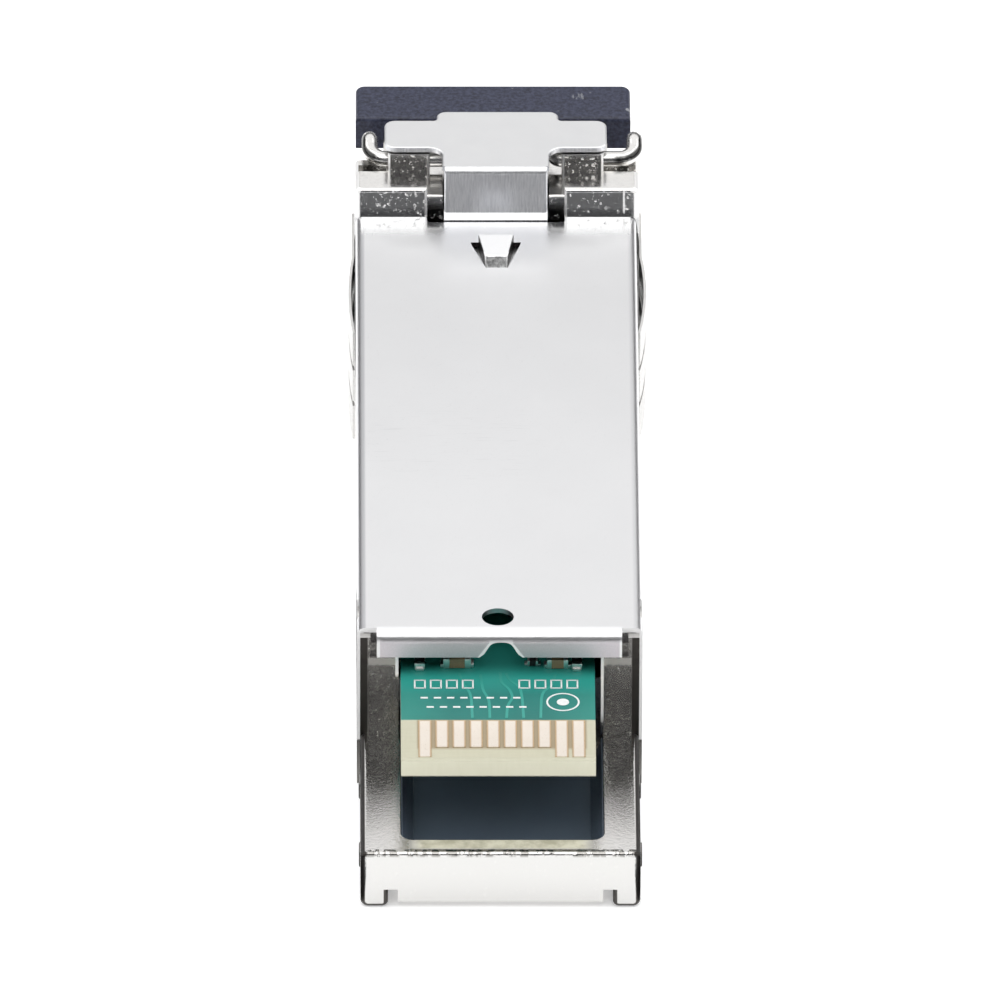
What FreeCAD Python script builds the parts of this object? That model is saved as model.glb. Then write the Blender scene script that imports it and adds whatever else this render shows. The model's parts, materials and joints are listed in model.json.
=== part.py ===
import FreeCAD, Part
import os
from math import tan, sqrt

V = FreeCAD.Vector
os.makedirs("parts", exist_ok=True)

# ---------------------------------------------------------------------------
# Single-fibre pluggable optical module, lying with its latch side up.
# Working coordinates while modelling: x across the module, y forward from the
# latch shoulder (positive towards the optical port), z up from the outer face
# of the sheet cover.  Every piece is shifted at export so that the origin is
# the middle of the footprint, on the plane the module lies on.
# ---------------------------------------------------------------------------

# overall module
NOSE_Y = 9.2            # front face of the port bezel
REAR_Y = -47.5          # rear end of the casting
RAIL_Z = -8.62          # underside of the two rails the module lies on
PLATEAU_Z = -8.28       # label plateau between the rails
REAR_W = 13.4           # width over the folded cover
CRADLE_HALF = 6.55      # half width of the open rear cradle
NOSE_X0, NOSE_X1 = -6.75, 6.85   # sides of the cast nose
Y0 = -(NOSE_Y + REAR_Y) / 2.0
Z0 = -RAIL_Z

# sheet cover
SHEET = 0.25
COVER_REAR = -37.1
COVER_FRONT = -0.03
FLANGE_Z = -6.2
LIP_Z = -1.27
LIP_LEAN = 0.16         # the folded lip stands out a little at its foot
LIP_X0, LIP_X1 = -5.77, 5.73
DRAIN_R = 0.75
DRAIN_Y = -35.7

# casting
LEDGE_Z = -5.6          # open rear ledge
POCKET_X0, POCKET_X1 = -4.68, 4.88
POCKET_REAR = -46.35
POCKET_FLOOR = -7.55
WALL_IN = 5.55          # inner half width of the covered bay
BAY_FLOOR = -7.2
BLOCK_Z = 1.40          # top of the shoulder blocks and nose ledge
DRAFT = 0.158           # draft of the shoulder faces, tangent of 9 degrees
SLOT_HALF = 3.28        # half width of the latch channel
NECK_HALF = 5.35        # half width of the neck beside the bail legs
NECK_Y = 2.9
BEZEL_Y = 6.15
RECESS_Z = 1.0

# bail and rocker
WIRE_R = 0.38
BAIL_Y, BAIL_Z = 2.7, 1.57
BAIL_SHIFT = 0.31       # side play of the loose bail
PIN_Y, PIN_Z, PIN_R = 1.0, -0.4, 0.5
PLATE_Z0, PLATE_Z1 = 2.38, 2.64

# board and optics
PCB_X0, PCB_X1 = -4.65, 4.46
PCB_TOP, PCB_BOT = -2.25, -3.25
PCB_REAR = COVER_REAR - 7.50
PCB_FRONT = -13.2
PAD_PITCH, PAD_W, PAD_T = 0.8, 0.61, 0.04
AXIS_Z = -4.3           # optical axis
FERRULE_R = 0.627


def box(x0, x1, y0, y1, z0, z1):
    return Part.makeBox(x1 - x0, y1 - y0, z1 - z0, V(x0, y0, z0))


def cyl(p, d, r, length):
    return Part.makeCylinder(r, length, V(*p), V(*d))


def prism_x(pts, x0, x1):
    """Extrude a closed y-z outline from x0 to x1."""
    w = Part.makePolygon([V(x0, a, b) for a, b in pts] + [V(x0, pts[0][0], pts[0][1])])
    return Part.Face(w).extrude(V(x1 - x0, 0, 0))


def prism_y(pts, y0, y1):
    """Extrude a closed x-z outline from y0 to y1."""
    w = Part.makePolygon([V(a, y0, b) for a, b in pts] + [V(pts[0][0], y0, pts[0][1])])
    return Part.Face(w).extrude(V(0, y1 - y0, 0))


def prism_z(pts, z0, z1):
    """Extrude a closed x-y outline from z0 to z1."""
    w = Part.makePolygon([V(a, b, z0) for a, b in pts] + [V(pts[0][0], pts[0][1], z0)])
    return Part.Face(w).extrude(V(0, 0, z1 - z0))


def edges(shape, test):
    out = []
    for e in shape.Edges:
        vs = [v.Point for v in e.Vertexes]
        if len(vs) == 2 and test(vs[0], vs[1]):
            out.append(e)
    return out


def along(a, b, axis, tol=1e-4):
    d = b - a
    comp = {"x": d.x, "y": d.y, "z": d.z}
    return abs(abs(comp[axis]) - d.Length) < tol


def fillet(shape, r, test):
    es = edges(shape, test)
    return shape.makeFillet(r, es) if es else shape


def chamfer(shape, r, test):
    es = edges(shape, test)
    return shape.makeChamfer(r, es) if es else shape


def near(a, b, tol=0.02):
    return abs(a - b) < tol



def round_path(pts, radii, r, closed_ends=True):
    """Round wire of radius r through pts, with a tangent arc at each corner."""
    P = [V(*p) for p in pts]
    es, last = [], P[0]
    for i in range(1, len(P) - 1):
        a = (P[i - 1] - P[i]).normalize()
        b = (P[i + 1] - P[i]).normalize()
        ang = a.getAngle(b)
        t = radii[i - 1] / tan(ang / 2.0)
        p1, p2 = P[i] + a * t, P[i] + b * t
        bis = (a + b).normalize()
        mid = P[i] + bis * (sqrt(t * t + radii[i - 1] ** 2) - radii[i - 1])
        if (p1 - last).Length > 1e-6:
            es.append(Part.LineSegment(last, p1).toShape())
        es.append(Part.Arc(p1, mid, p2).toShape())
        last = p2
    es.append(Part.LineSegment(last, P[-1]).toShape())
    path = Part.Wire(es)
    prof = Part.Wire([Part.Circle(P[0], P[1] - P[0], r).toShape()])
    s = path.makePipeShell([prof], True, True)
    return s, path.Length


NODES = {}


def put(name, shape):
    NODES[name] = shape


# ---------------------------------------------------------------------------
# Sheet cover: one folded and pierced sheet, with side flanges and a rear lip
# ---------------------------------------------------------------------------
W2 = REAR_W / 2.0
outer = box(-W2, W2, COVER_REAR, COVER_FRONT, FLANGE_Z, 0.0)
outer = fillet(outer, 0.36, lambda a, b: along(a, b, "y") and near(a.z, 0))
inner = box(-W2 + SHEET, W2 - SHEET, COVER_REAR - 1, COVER_FRONT + 1, FLANGE_Z - 1, -SHEET)
inner = fillet(inner, 0.12, lambda a, b: along(a, b, "y") and near(a.z, -SHEET))
cover = outer.cut(inner)
# the rear lip is folded down between the two flanges
cover = cover.cut(box(-W2 - 1, W2 + 1, COVER_REAR - 1, COVER_REAR + 0.42, FLANGE_Z - 1, 1))
cover = cover.cut(box(LIP_X0, LIP_X1, COVER_REAR - 1, COVER_REAR + 0.75, -1, 1))
lip = prism_x([(COVER_REAR + 0.75, 0.0), (COVER_REAR, 0.0), (COVER_REAR - LIP_LEAN, LIP_Z),
               (COVER_REAR + SHEET - LIP_LEAN, LIP_Z), (COVER_REAR + SHEET, -SHEET),
               (COVER_REAR + 0.75, -SHEET)], LIP_X0, LIP_X1)
lip = fillet(lip, 0.64, lambda a, b: along(a, b, "x") and near(a.z, 0) and near(a.y, COVER_REAR))
lip = fillet(lip, 0.39, lambda a, b: along(a, b, "x") and near(a.z, -SHEET)
             and near(a.y, COVER_REAR + SHEET))
# rounded relief in the lip, flaring out at the free edge
lip = lip.cut(prism_y([(-1.00, LIP_Z - 0.1), (-0.96, LIP_Z), (-0.86, -1.20), (-0.76, -1.12), (-0.67, -1.00),
                       (-0.59, -0.86), (-0.51, -0.73), (-0.43, -0.63), (-0.33, -0.56), (-0.21, -0.52), (-0.08, -0.505),
                       (0.20, -0.505), (0.33, -0.52), (0.45, -0.56), (0.55, -0.63), (0.63, -0.73), (0.71, -0.86),
                       (0.79, -1.00), (0.88, -1.12), (0.98, -1.20), (1.08, LIP_Z), (1.12, LIP_Z - 0.1)],
                      COVER_REAR - 0.5, COVER_REAR + SHEET + 0.30))
cover = cover.fuse(lip)
# drain hole, latch window, channel notch at the front edge, catch windows
cover = cover.cut(cyl((-0.09, DRAIN_Y, -1), (0, 0, 1), DRAIN_R, 2))
cover = cover.cut(prism_z([(-1.21, -2.34), (1.19, -2.34), (1.13, -2.62), (0.55, -4.62), (-0.50, -4.62),
                           (-1.15, -2.62)], -1, 1))
notch = box(-SLOT_HALF - 0.02, SLOT_HALF + 0.02, -0.52, 1, -1, 1)
notch = fillet(notch, 0.2, lambda a, b: along(a, b, "z") and near(a.y, -0.52))
cover = cover.cut(notch)
for s in (-1, 1):
    cover = cover.cut(box(min(s * 6.3, s * 7), max(s * 6.3, s * 7), -35.5, -33.9, -1.5, -0.10))
    cover = cover.cut(box(min(s * 6, s * 7), max(s * 6, s * 7), -10.9, -9.1, -3.4, -2.0))
cover = cover.removeSplitter()
put("bottom_cover", cover)

# ---------------------------------------------------------------------------
# Die-cast base: nose, shoulder blocks, bail posts, bay walls, rear cradle, rails
# ---------------------------------------------------------------------------
base = box(-W2, W2, REAR_Y, 0.0, PLATEAU_Z, -SHEET - 0.02)
# flange seats on both sides of the covered length
for s in (-1, 1):
    x0, x1 = sorted((s * (W2 - SHEET - 0.02), s * (W2 + 1)))
    base = base.cut(box(x0, x1, COVER_REAR + 0.40, 1, FLANGE_Z - 0.05, 1))
base = chamfer(base, 0.14, lambda a, b: along(a, b, "y") and near(abs(a.x), W2 - SHEET - 0.02) and near(a.z, -SHEET - 0.02))
# open rear end above the ledge, with the seat of the folded lip
base = base.cut(box(-W2 - 1, W2 + 1, REAR_Y - 1, COVER_REAR, LEDGE_Z, 1))
base = base.cut(box(LIP_X0 - 0.30, LIP_X1 + 0.30, COVER_REAR - 1, COVER_REAR + SHEET + 0.03, LIP_Z - 0.04, 1))
base = base.cut(box(LIP_X0 - 0.30, LIP_X1 + 0.30, COVER_REAR - 1, COVER_REAR + 0.80, -0.80, 1))
# the open cradle is narrower than the covered length
for s in (-1, 1):
    x0, x1 = sorted((s * CRADLE_HALF, s * (W2 + 1)))
    base = base.cut(box(x0, x1, REAR_Y - 1, COVER_REAR + 0.40, PLATEAU_Z - 1, 1))
# two rails on the label side, with a groove beside each
for s in (-1, 1):
    x0, x1 = sorted((s * 5.25, s * W2))
    base = base.fuse(box(x0, x1, COVER_REAR + 0.40, 0.0, RAIL_Z, PLATEAU_Z))
    x0, x1 = sorted((s * 5.25, s * CRADLE_HALF))
    base = base.fuse(box(x0, x1, REAR_Y, COVER_REAR + 0.40, RAIL_Z, PLATEAU_Z))
    x0, x1 = sorted((s * 4.8, s * 5.25))
    base = base.cut(box(x0, x1, REAR_Y - 1, -1.2, PLATEAU_Z - 1, -7.62))
base = base.removeSplitter()
base = fillet(base, 0.34, lambda a, b: along(a, b, "y") and near(a.z, RAIL_Z) and max(a.y, b.y) < COVER_REAR + 0.5)
# bay for the board and the optics
bay = box(-WALL_IN, WALL_IN, COVER_REAR + 1.1, -5.8, BAY_FLOOR, 1)
bay = fillet(bay, 0.5, lambda a, b: along(a, b, "z"))
base = base.cut(bay)
base = base.cut(box(-4.75, 4.75, COVER_REAR - 0.5, COVER_REAR + 1.4, BAY_FLOOR, 1))
pocket = box(POCKET_X0, POCKET_X1, POCKET_REAR, COVER_REAR - 0.001, POCKET_FLOOR, 1)
pocket = fillet(pocket, 0.62, lambda a, b: along(a, b, "z") and near(a.y, POCKET_REAR))
base = base.cut(pocket)
# cast nose and neck
nose = box(NOSE_X0, NOSE_X1, -0.6, NECK_Y, -8.3, BLOCK_Z)
nose = nose.cut(box(-10, 10, -2, 0.0, -SHEET - 0.02, 3))
nose = nose.cut(box(W2 - SHEET - 0.02, 10, -2, 0.0, -10, 3)).cut(box(-10, -W2 + SHEET + 0.02, -2, 0.0, -10, 3))
nose = nose.cut(prism_x([(0.0, -0.01), (DRAFT * (BLOCK_Z + 0.5), BLOCK_Z + 0.5), (-1.0, BLOCK_Z + 0.5), (-1.0, -0.01)], -9, 9))
nose = nose.cut(box(-SLOT_HALF, SLOT_HALF, -2, 2.2, -1.7, 3))
for s in (-1, 1):
    tri = [V(s * (SLOT_HALF - 0.01), 0.13, 0), V(s * (SLOT_HALF + 0.13), -0.01, 0), V(s * (SLOT_HALF - 0.01), -0.01, 0)]
    nose = nose.cut(Part.Face(Part.makePolygon(tri + tri[:1])).extrude(V(0, DRAFT * 1.6, 1.6)))
nose = fillet(nose, 0.22, lambda a, b: along(a, b, "x") and near(a.y, DRAFT * BLOCK_Z, 0.03) and near(a.z, BLOCK_Z))
nose = fillet(nose, 0.30, lambda a, b: along(a, b, "y") and abs(a.x) > 6 and (near(a.z, BLOCK_Z) or near(a.z, -8.3)))
neck = box(-NECK_HALF, NECK_HALF, NECK_Y - 0.4, BEZEL_Y, -7.95, RECESS_Z)
neck = neck.cut(prism_x([(BEZEL_Y + 0.1, -8.1), (BEZEL_Y + 0.1, -7.7), (4.6, -8.1)], -9, 9))
base = base.fuse([nose, neck])
# seats beside the posts, latch channel, crank well
for x0, x1 in ((-6.60, -5.2), (5.2, 6.70)):
    base = base.fuse(box(x0, x1, NECK_Y - 0.2, NECK_Y + 0.45, -7.95, 1.10))
for x0, x1 in ((-6.56, -5.15), (5.15, 8.0)):
    base = base.cut(box(x0, x1, 1.85, NECK_Y + 1, 1.10, 3))
    base = base.cut(box(x0, x1, 1.85, NECK_Y, 0.45, 3))
base = base.cut(box(-SLOT_HALF, SLOT_HALF, -6.2, 2.2, -1.7, 3))
base = base.cut(box(-1.9, 1.9, -6.2, -0.9, -2.45, 0))
base = base.cut(box(-SLOT_HALF, SLOT_HALF, 1.9, BEZEL_Y + 1, 0.75, 3))
# bearing cheeks of the rocker pin
for s in (-1, 1):
    x0, x1 = sorted((s * 2.54, s * 3.30))
    cheek = box(x0, x1, 0.30, 2.25, -1.75, 0.98)
    cheek = fillet(cheek, 0.14, lambda a, b: along(a, b, "x") and near(a.y, 0.30) and near(a.z, 0.98))
    base = base.fuse(cheek)
# bail posts, open-topped saddles
for s in (-1, 1):
    x0, x1 = sorted((s * 3.15, s * 5.15))
    post = box(x0, x1, 1.85, 3.42, 0.6, 2.32)
    post = fillet(post, 0.15, lambda a, b: along(a, b, "z"))
    base = base.fuse(post)
base = base.cut(cyl((-5.6, BAIL_Y, BAIL_Z), (1, 0, 0), WIRE_R + 0.04, 11.2))
base = base.cut(box(-5.6, 5.6, BAIL_Y - WIRE_R - 0.04, BAIL_Y + WIRE_R + 0.04, BAIL_Z, 3))
# rocker pin bore
base = base.cut(cyl((-4.4, PIN_Y, PIN_Z), (1, 0, 0), PIN_R, 8.8))
# pocket for the port insert and the bore for the optical barrel
base = base.cut(box(-3.6, 3.6, 2.9, BEZEL_Y + 1, -7.45, -0.55))
base = base.cut(cyl((0, -7, AXIS_Z), (0, 1, 0), 1.78, 12))
# seat for the flange of the optical barrel, open to the bay
base = base.cut(box(-2.95, 2.95, -6.4, -3.6, BAY_FLOOR, -1.4))
# cover catches and small guide pips on the outer sides
for s in (-1, 1):
    for yy, zz in ((-34.7, -1.4), (-10.0, -3.3)):
        x0, x1 = sorted((s * (W2 - SHEET - 0.4), s * (W2 - 0.03)))
        c = box(x0, x1, yy - 0.7, yy + 0.7, zz, zz + 0.9)
        c = chamfer(c, 0.2, lambda a, b: along(a, b, "y") and near(abs(a.x), W2 - 0.03) and near(a.z, zz))
        base = base.fuse(c)
    for yy in (-40.3, -46.2):
        x0, x1 = sorted((s * (CRADLE_HALF - 0.3), s * (CRADLE_HALF + 0.07)))
        c = box(x0, x1, yy - 0.45, yy + 0.45, -6.9, -6.1)
        c = fillet(c, 0.06, lambda a, b: near(abs(a.x), CRADLE_HALF + 0.07) and near(abs(b.x), CRADLE_HALF + 0.07))
        base = base.fuse(c)
base = base.removeSplitter()
# worn cast edges at the rear of the cradle
base = fillet(base, 0.16, lambda a, b: along(a, b, "x") and near(a.y, REAR_Y) and near(a.z, LEDGE_Z))
base = fillet(base, 0.28, lambda a, b: along(a, b, "y") and near(abs(a.x), CRADLE_HALF) and near(a.z, LEDGE_Z)
              and a.y < COVER_REAR + 0.01 and b.y < COVER_REAR + 0.01)
base = fillet(base, 0.28, lambda a, b: near(a.y, REAR_Y) and near(b.y, REAR_Y) and abs(a.x) > 4.9 and abs(b.x) > 4.9
              and (min(a.z, b.z) < -7.7 or near(abs(a.x), CRADLE_HALF)))
put("die_cast_base", base)

# board rests inside the bay
ribs = []
for s in (-1, 1):
    for y0, y1 in ((-35.9, -34.4), (-17.2, -15.7)):
        x0, x1 = sorted((s * 3.95, s * 5.7))
        ribs.append(box(x0, x1, y0, y1, BAY_FLOOR - 0.1, PCB_BOT))
base = base.fuse(ribs).removeSplitter()
put("die_cast_base", base)

# ---------------------------------------------------------------------------
# Latch rocker: one metal-injection-moulded piece with the plate, web, hub,
# tongue and latch boss
# ---------------------------------------------------------------------------
plate = prism_z([(-2.55, 0.30), (2.55, 0.30), (2.55, 2.0), (5.30, 2.0), (5.30, 4.5), (3.0, 4.5), (3.0, 5.3),
                 (-2.8, 5.3), (-2.8, 4.5), (-5.30, 4.5), (-5.30, 2.0), (-2.55, 2.0)], PLATE_Z0, PLATE_Z1)
plate = fillet(plate, 0.5, lambda a, b: along(a, b, "z") and near(abs(a.x), 5.30))
plate = fillet(plate, 0.66, lambda a, b: along(a, b, "z") and near(abs(a.x), 2.55) and near(a.y, 2.0))
plate = fillet(plate, 0.45, lambda a, b: along(a, b, "z") and near(abs(a.x - 0.1), 2.9) and near(a.y, 5.3))
plate = fillet(plate, 0.18, lambda a, b: along(a, b, "z") and near(abs(a.x - 0.1), 2.9) and near(a.y, 4.5))
plate = fillet(plate, 0.08, lambda a, b: near(a.z, PLATE_Z1) and near(b.z, PLATE_Z1) and not near(a.y + b.y, 0.6))
web = prism_x([(-0.40, 0.05), (-0.17, 0.33), (0.06, PLATE_Z1), (0.52, PLATE_Z1), (0.52, -0.75), (-0.30, -0.75), (-0.40, -0.60)],
              -2.47, 2.47)
web = fillet(web, 0.36, lambda a, b: along(a, b, "x") and near(a.y, 0.06) and near(a.z, PLATE_Z1))
web = fillet(web, 0.11, lambda a, b: near(a.x, b.x) and near(abs(a.x), 2.47) and a.y < 0.3 and b.y < 0.3
             and min(a.z, b.z) > 0.2 and abs(a.z - b.z) > 1.0)
hub = cyl((-2.47, PIN_Y, PIN_Z), (1, 0, 0), 0.82, 4.94)
link = box(-2.47, 2.47, -0.05, PIN_Y, -1.05, 0.32)
tongue = box(-1.5, 1.5, -5.15, 0.6, -1.05, -0.38)
tongue = fillet(tongue, 0.4, lambda a, b: along(a, b, "z") and near(a.y, -5.15))
boss = prism_x([(-2.47, -0.5), (-2.47, 0.52), (-4.05, 0.30), (-4.16, -0.5)], -1.2, 1.2)
boss = boss.common(prism_z([(-0.84, -2.47), (0.84, -2.47), (0.45, -4.5), (-0.45, -4.5)], -0.5, 0.7))
boss = fillet(boss, 0.10, lambda a, b: abs(a.z - b.z) > 0.5 and max(a.y, b.y) < -3.9)
boss = fillet(boss, 0.07, lambda a, b: a.z > 0.25 and b.z > 0.25 and not (near(a.y, -2.47) and near(b.y, -2.47)))
rocker = plate.fuse([web, hub, link, tongue, boss])
rocker = rocker.cut(cyl((-4, PIN_Y, PIN_Z), (1, 0, 0), PIN_R + 0.03, 8))
rocker = rocker.removeSplitter()
put("latch_rocker", rocker)

put("rocker_pin", cyl((-4.25, PIN_Y, PIN_Z), (1, 0, 0), PIN_R, 8.5))

# leaf spring under the tongue, its flat end lying on the floor of the well
leaf = prism_x([(-1.2, -2.45), (-1.2, -2.33), (-1.9, -2.33), (-4.72, -1.10), (-5.05, -1.10), (-5.05, -1.22),
                (-4.75, -1.22), (-1.93, -2.45)], -0.9, 0.9)
put("return_spring", leaf)

# ---------------------------------------------------------------------------
# Bail: one bent round wire with a crank in the middle of its shaft
# ---------------------------------------------------------------------------
CRANK_Y, CRANK_Z = BAIL_Y + 0.80, BAIL_Z + 0.37
half = [(0.12, CRANK_Y, CRANK_Z), (1.93, CRANK_Y, CRANK_Z), (2.64, BAIL_Y, BAIL_Z), (6.32, BAIL_Y, BAIL_Z),
        (6.32, 4.45, BAIL_Z + 0.52), (6.32, 4.45, -2.0), (6.32, 8.4, -7.95)]
route = [(x + BAIL_SHIFT, y, z) for x, y, z in half]
route += [(-x + BAIL_SHIFT, y, z) for x, y, z in reversed(half)]
rad = [0.5, 0.4, 0.75, 0.62, 2.0, 0.9]
bail, bail_len = round_path(route, rad + rad[::-1], WIRE_R)
put("bail_wire", bail)

# ---------------------------------------------------------------------------
# Moulded port insert with the bezel
# ---------------------------------------------------------------------------
brow = box(-6.68, 6.48, BEZEL_Y, NOSE_Y, 0.05, 1.75)
brow = fillet(brow, 0.45, lambda a, b: along(a, b, "z") and near(a.y, NOSE_Y))
brow = fillet(brow, 0.22, lambda a, b: near(a.z, 1.75) and near(b.z, 1.75))
low = prism_x([(BEZEL_Y, -8.0), (6.6, -8.0), (NOSE_Y, -6.8), (NOSE_Y, 0.4), (BEZEL_Y, 0.4)], -5.35, 5.35)
tail = box(-3.55, 3.55, 3.0, BEZEL_Y + 0.2, -7.4, -0.6)
insert = brow.fuse([low, tail])
port = box(-2.32, 2.32, 3.6, NOSE_Y + 1, AXIS_Z - 2.32, AXIS_Z + 2.32)
insert = insert.cut(port)
insert = insert.cut(box(-1.05, 1.05, 5.2, NOSE_Y + 1, AXIS_Z + 1, AXIS_Z + 3.05))
insert = insert.cut(box(-2.05, 2.05, 6.9, 8.1, AXIS_Z + 1, AXIS_Z + 3.05))
insert = insert.cut(cyl((0, 2, AXIS_Z), (0, 1, 0), 1.55, 3))
insert = insert.removeSplitter()
insert = chamfer(insert, 0.22, lambda a, b: near(a.y, NOSE_Y) and near(b.y, NOSE_Y) and abs(a.x) < 2.5
                 and abs(b.x) < 2.5 and -6.7 < a.z < -1.9 and -6.7 < b.z < -1.9 and along(a, b, "z"))
put("port_insert", insert)

# ---------------------------------------------------------------------------
# Shielding spring clip around the nose, with bowed fingers along the sides
# ---------------------------------------------------------------------------
CLIP = 0.12
clip = box(NOSE_X0 - CLIP, NOSE_X1 + CLIP, -0.3, 2.4, -8.42, -1.3)
clip = fillet(clip, 0.42, lambda a, b: along(a, b, "y") and near(a.z, -8.42))
hol = box(NOSE_X0, NOSE_X1, -1, 3, -8.30, 1)
hol = fillet(hol, 0.30, lambda a, b: along(a, b, "y") and near(a.z, -8.30))
clip = clip.cut(hol)
# the band under the label side stops at the shoulder
clip = clip.cut(box(-9, 9, -1, 0.4, -9, -7.8))
fingers = []
for s, n2, crown in ((-1, -NOSE_X0, 7.03), (1, NOSE_X1, 7.15)):
    for z0, z1 in ((-3.15, -1.3), (-5.15, -3.4), (-7.25, -5.4)):
        o = [V(s * (n2 + CLIP), -0.2, z0), V(s * (n2 + CLIP), -1.5, z0), V(s * crown, -4.05, z0), V(s * 6.84, -8.4, z0)]
        i = [V(s * n2, -0.2, z0), V(s * n2, -1.5, z0), V(s * (crown - CLIP), -4.05, z0), V(s * 6.73, -8.4, z0)]
        w = Part.Wire([Part.LineSegment(o[0], o[1]).toShape(), Part.Arc(o[1], o[2], o[3]).toShape(),
                       Part.LineSegment(o[3], i[3]).toShape(), Part.Arc(i[3], i[2], i[1]).toShape(),
                       Part.LineSegment(i[1], i[0]).toShape(), Part.LineSegment(i[0], o[0]).toShape()])
        fingers.append(Part.Face(w).extrude(V(0, 0, z1 - z0)))
clip = clip.fuse(fingers).removeSplitter()
put("shield_spring", clip)

# ---------------------------------------------------------------------------
# Board, contacts and components
# ---------------------------------------------------------------------------
pcb = box(PCB_X0, PCB_X1, PCB_REAR, PCB_FRONT, PCB_BOT, PCB_TOP)
pcb = chamfer(pcb, 0.1, lambda a, b: along(a, b, "x") and near(a.y, PCB_REAR))
put("circuit_board", pcb)
pads = []
for n in range(10):
    xc = 0.07 + (n - 4.5) * PAD_PITCH
    long_top = n in (0, 8, 9)
    y0 = COVER_REAR - (7.30 if long_top else 6.46)
    pads.append(box(xc - PAD_W / 2, xc + PAD_W / 2, y0, COVER_REAR - 4.15, PCB_TOP, PCB_TOP + PAD_T))
    long_bot = n in (0, 3, 6, 9)
    y0 = COVER_REAR - (7.30 if long_bot else 6.46)
    pads.append(box(xc - PAD_W / 2, xc + PAD_W / 2, y0, COVER_REAR - 4.15, PCB_BOT - PAD_T, PCB_BOT))
put("contact_pads", Part.makeCompound(pads))


def chip(x, y, lx, ly, h, top=True):
    z0, z1 = (PCB_TOP, PCB_TOP + h) if top else (PCB_BOT - h, PCB_BOT)
    c = box(x - lx / 2, x + lx / 2, y - ly / 2, y + ly / 2, z0, z1)
    return c


put("laser_driver_chip", chip(0.6, -20.0, 4.0, 4.0, 0.85))
put("limiting_amplifier_chip", chip(-1.4, -27.0, 3.0, 3.0, 0.85))
put("microcontroller_chip", chip(0.3, -24.0, 5.0, 5.0, 0.9, False))
put("memory_chip", chip(1.9, -31.2, 3.0, 2.0, 0.75))
R0 = COVER_REAR
caps = [chip(-2.0, R0 + 0.72, 1.30, 0.62, 0.52), chip(2.72, R0 + 0.62, 1.0, 0.5, 0.5),
        chip(-3.2, -19.0, 1.0, 0.5, 0.5), chip(-3.2, -20.2, 1.0, 0.5, 0.5), chip(-3.2, -21.4, 1.0, 0.5, 0.5),
        chip(3.6, -23.4, 0.5, 1.0, 0.5), chip(2.6, -23.4, 0.5, 1.0, 0.5), chip(1.2, -26.2, 1.0, 0.5, 0.5),
        chip(1.2, -27.4, 1.0, 0.5, 0.5), chip(-2.6, -33.2, 1.6, 0.8, 0.8), chip(-2.6, -30.6, 1.6, 0.8, 0.8),
        chip(3.4, -20.4, 1.0, 0.5, 0.5, False), chip(3.4, -27.9, 1.0, 0.5, 0.5, False)]
put("chip_capacitors", Part.makeCompound(caps))
res = [chip(-3.75, R0 + 0.75, 0.5, 0.9, 0.35), chip(3.62, R0 + 0.72, 0.5, 0.9, 0.35), chip(1.55, R0 + 0.80, 0.5, 0.4, 0.3),
       chip(-3.2, -22.8, 1.0, 0.5, 0.35), chip(-3.2, -24.0, 1.0, 0.5, 0.35), chip(0.2, -23.6, 0.5, 1.0, 0.35),
       chip(3.4, -29.0, 1.0, 0.5, 0.35, False), chip(-3.0, -28.6, 1.0, 0.5, 0.35, False)]
put("chip_resistors", Part.makeCompound(res))
put("power_inductors", Part.makeCompound([chip(3.2, -26.6, 1.25, 2.0, 1.1), chip(3.2, -29.0, 1.25, 2.0, 1.1)]))
put("thermal_pad", box(-1.2, 2.4, -21.8, -18.2, PCB_TOP + 0.85, -SHEET))

# ---------------------------------------------------------------------------
# Bidirectional optical sub-assembly
# ---------------------------------------------------------------------------
YA = V(0, 1, 0)
barrel = cyl((0, -5.7, AXIS_Z), (0, 1, 0), 1.45, 10.2).fuse(cyl((0, -5.5, AXIS_Z), (0, 1, 0), 2.3, 1.6))
barrel = barrel.cut(cyl((0, -4.5, AXIS_Z), (0, 1, 0), 0.82, 8.4))
barrel = barrel.cut(cyl((0, -6, AXIS_Z), (0, 1, 0), 0.5, 3)).cut(cyl((0, 3, AXIS_Z), (0, 1, 0), 0.70, 3))
barrel = barrel.cut(Part.makeCone(0.70, 1.0, 0.35, V(0, 4.16, AXIS_Z), YA))
put("optical_barrel", barrel.removeSplitter())
sleeve = cyl((0, -1.5, AXIS_Z), (0, 1, 0), 0.82, 5.38).cut(cyl((0, -2, AXIS_Z), (0, 1, 0), FERRULE_R, 7))
sleeve = sleeve.cut(box(-0.12, 0.12, -2, 5, AXIS_Z, AXIS_Z + 1))
put("split_sleeve", sleeve)
put("fibre_stub", cyl((0, -4.5, AXIS_Z), (0, 1, 0), 0.82, 3.0))
body = box(-2.8, 2.8, -11.5, -5.7, AXIS_Z - 2.75, AXIS_Z + 2.75)
body = fillet(body, 0.5, lambda a, b: along(a, b, "y"))
YC = -8.6
body = body.cut(box(-1.25, 1.25, YC - 1.25, YC + 1.25, AXIS_Z - 1.05, AXIS_Z + 1.05))
body = body.cut(cyl((0, -11.6, AXIS_Z), (0, 1, 0), 1.8, 1.75)).cut(cyl((0, -11, AXIS_Z), (0, 1, 0), 0.8, 6))
body = body.cut(cyl((-2.9, YC, AXIS_Z), (1, 0, 0), 1.5, 1.2)).cut(cyl((-2.9, YC, AXIS_Z), (1, 0, 0), 0.7, 2))
put("optics_housing", body.removeSplitter())
flt = box(-1.2, 1.2, -0.15, 0.15, -1.05, 1.05)
flt.rotate(V(0, 0, 0), V(0, 0, 1), 45)
flt.translate(V(0, YC, AXIS_Z))
put("splitter_filter", flt)
laser = cyl((0, -12.7, AXIS_Z), (0, 1, 0), 2.65, 1.2).fuse(cyl((0, -11.6, AXIS_Z), (0, 1, 0), 1.78, 1.4))
put("laser_can", laser.removeSplitter())
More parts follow.
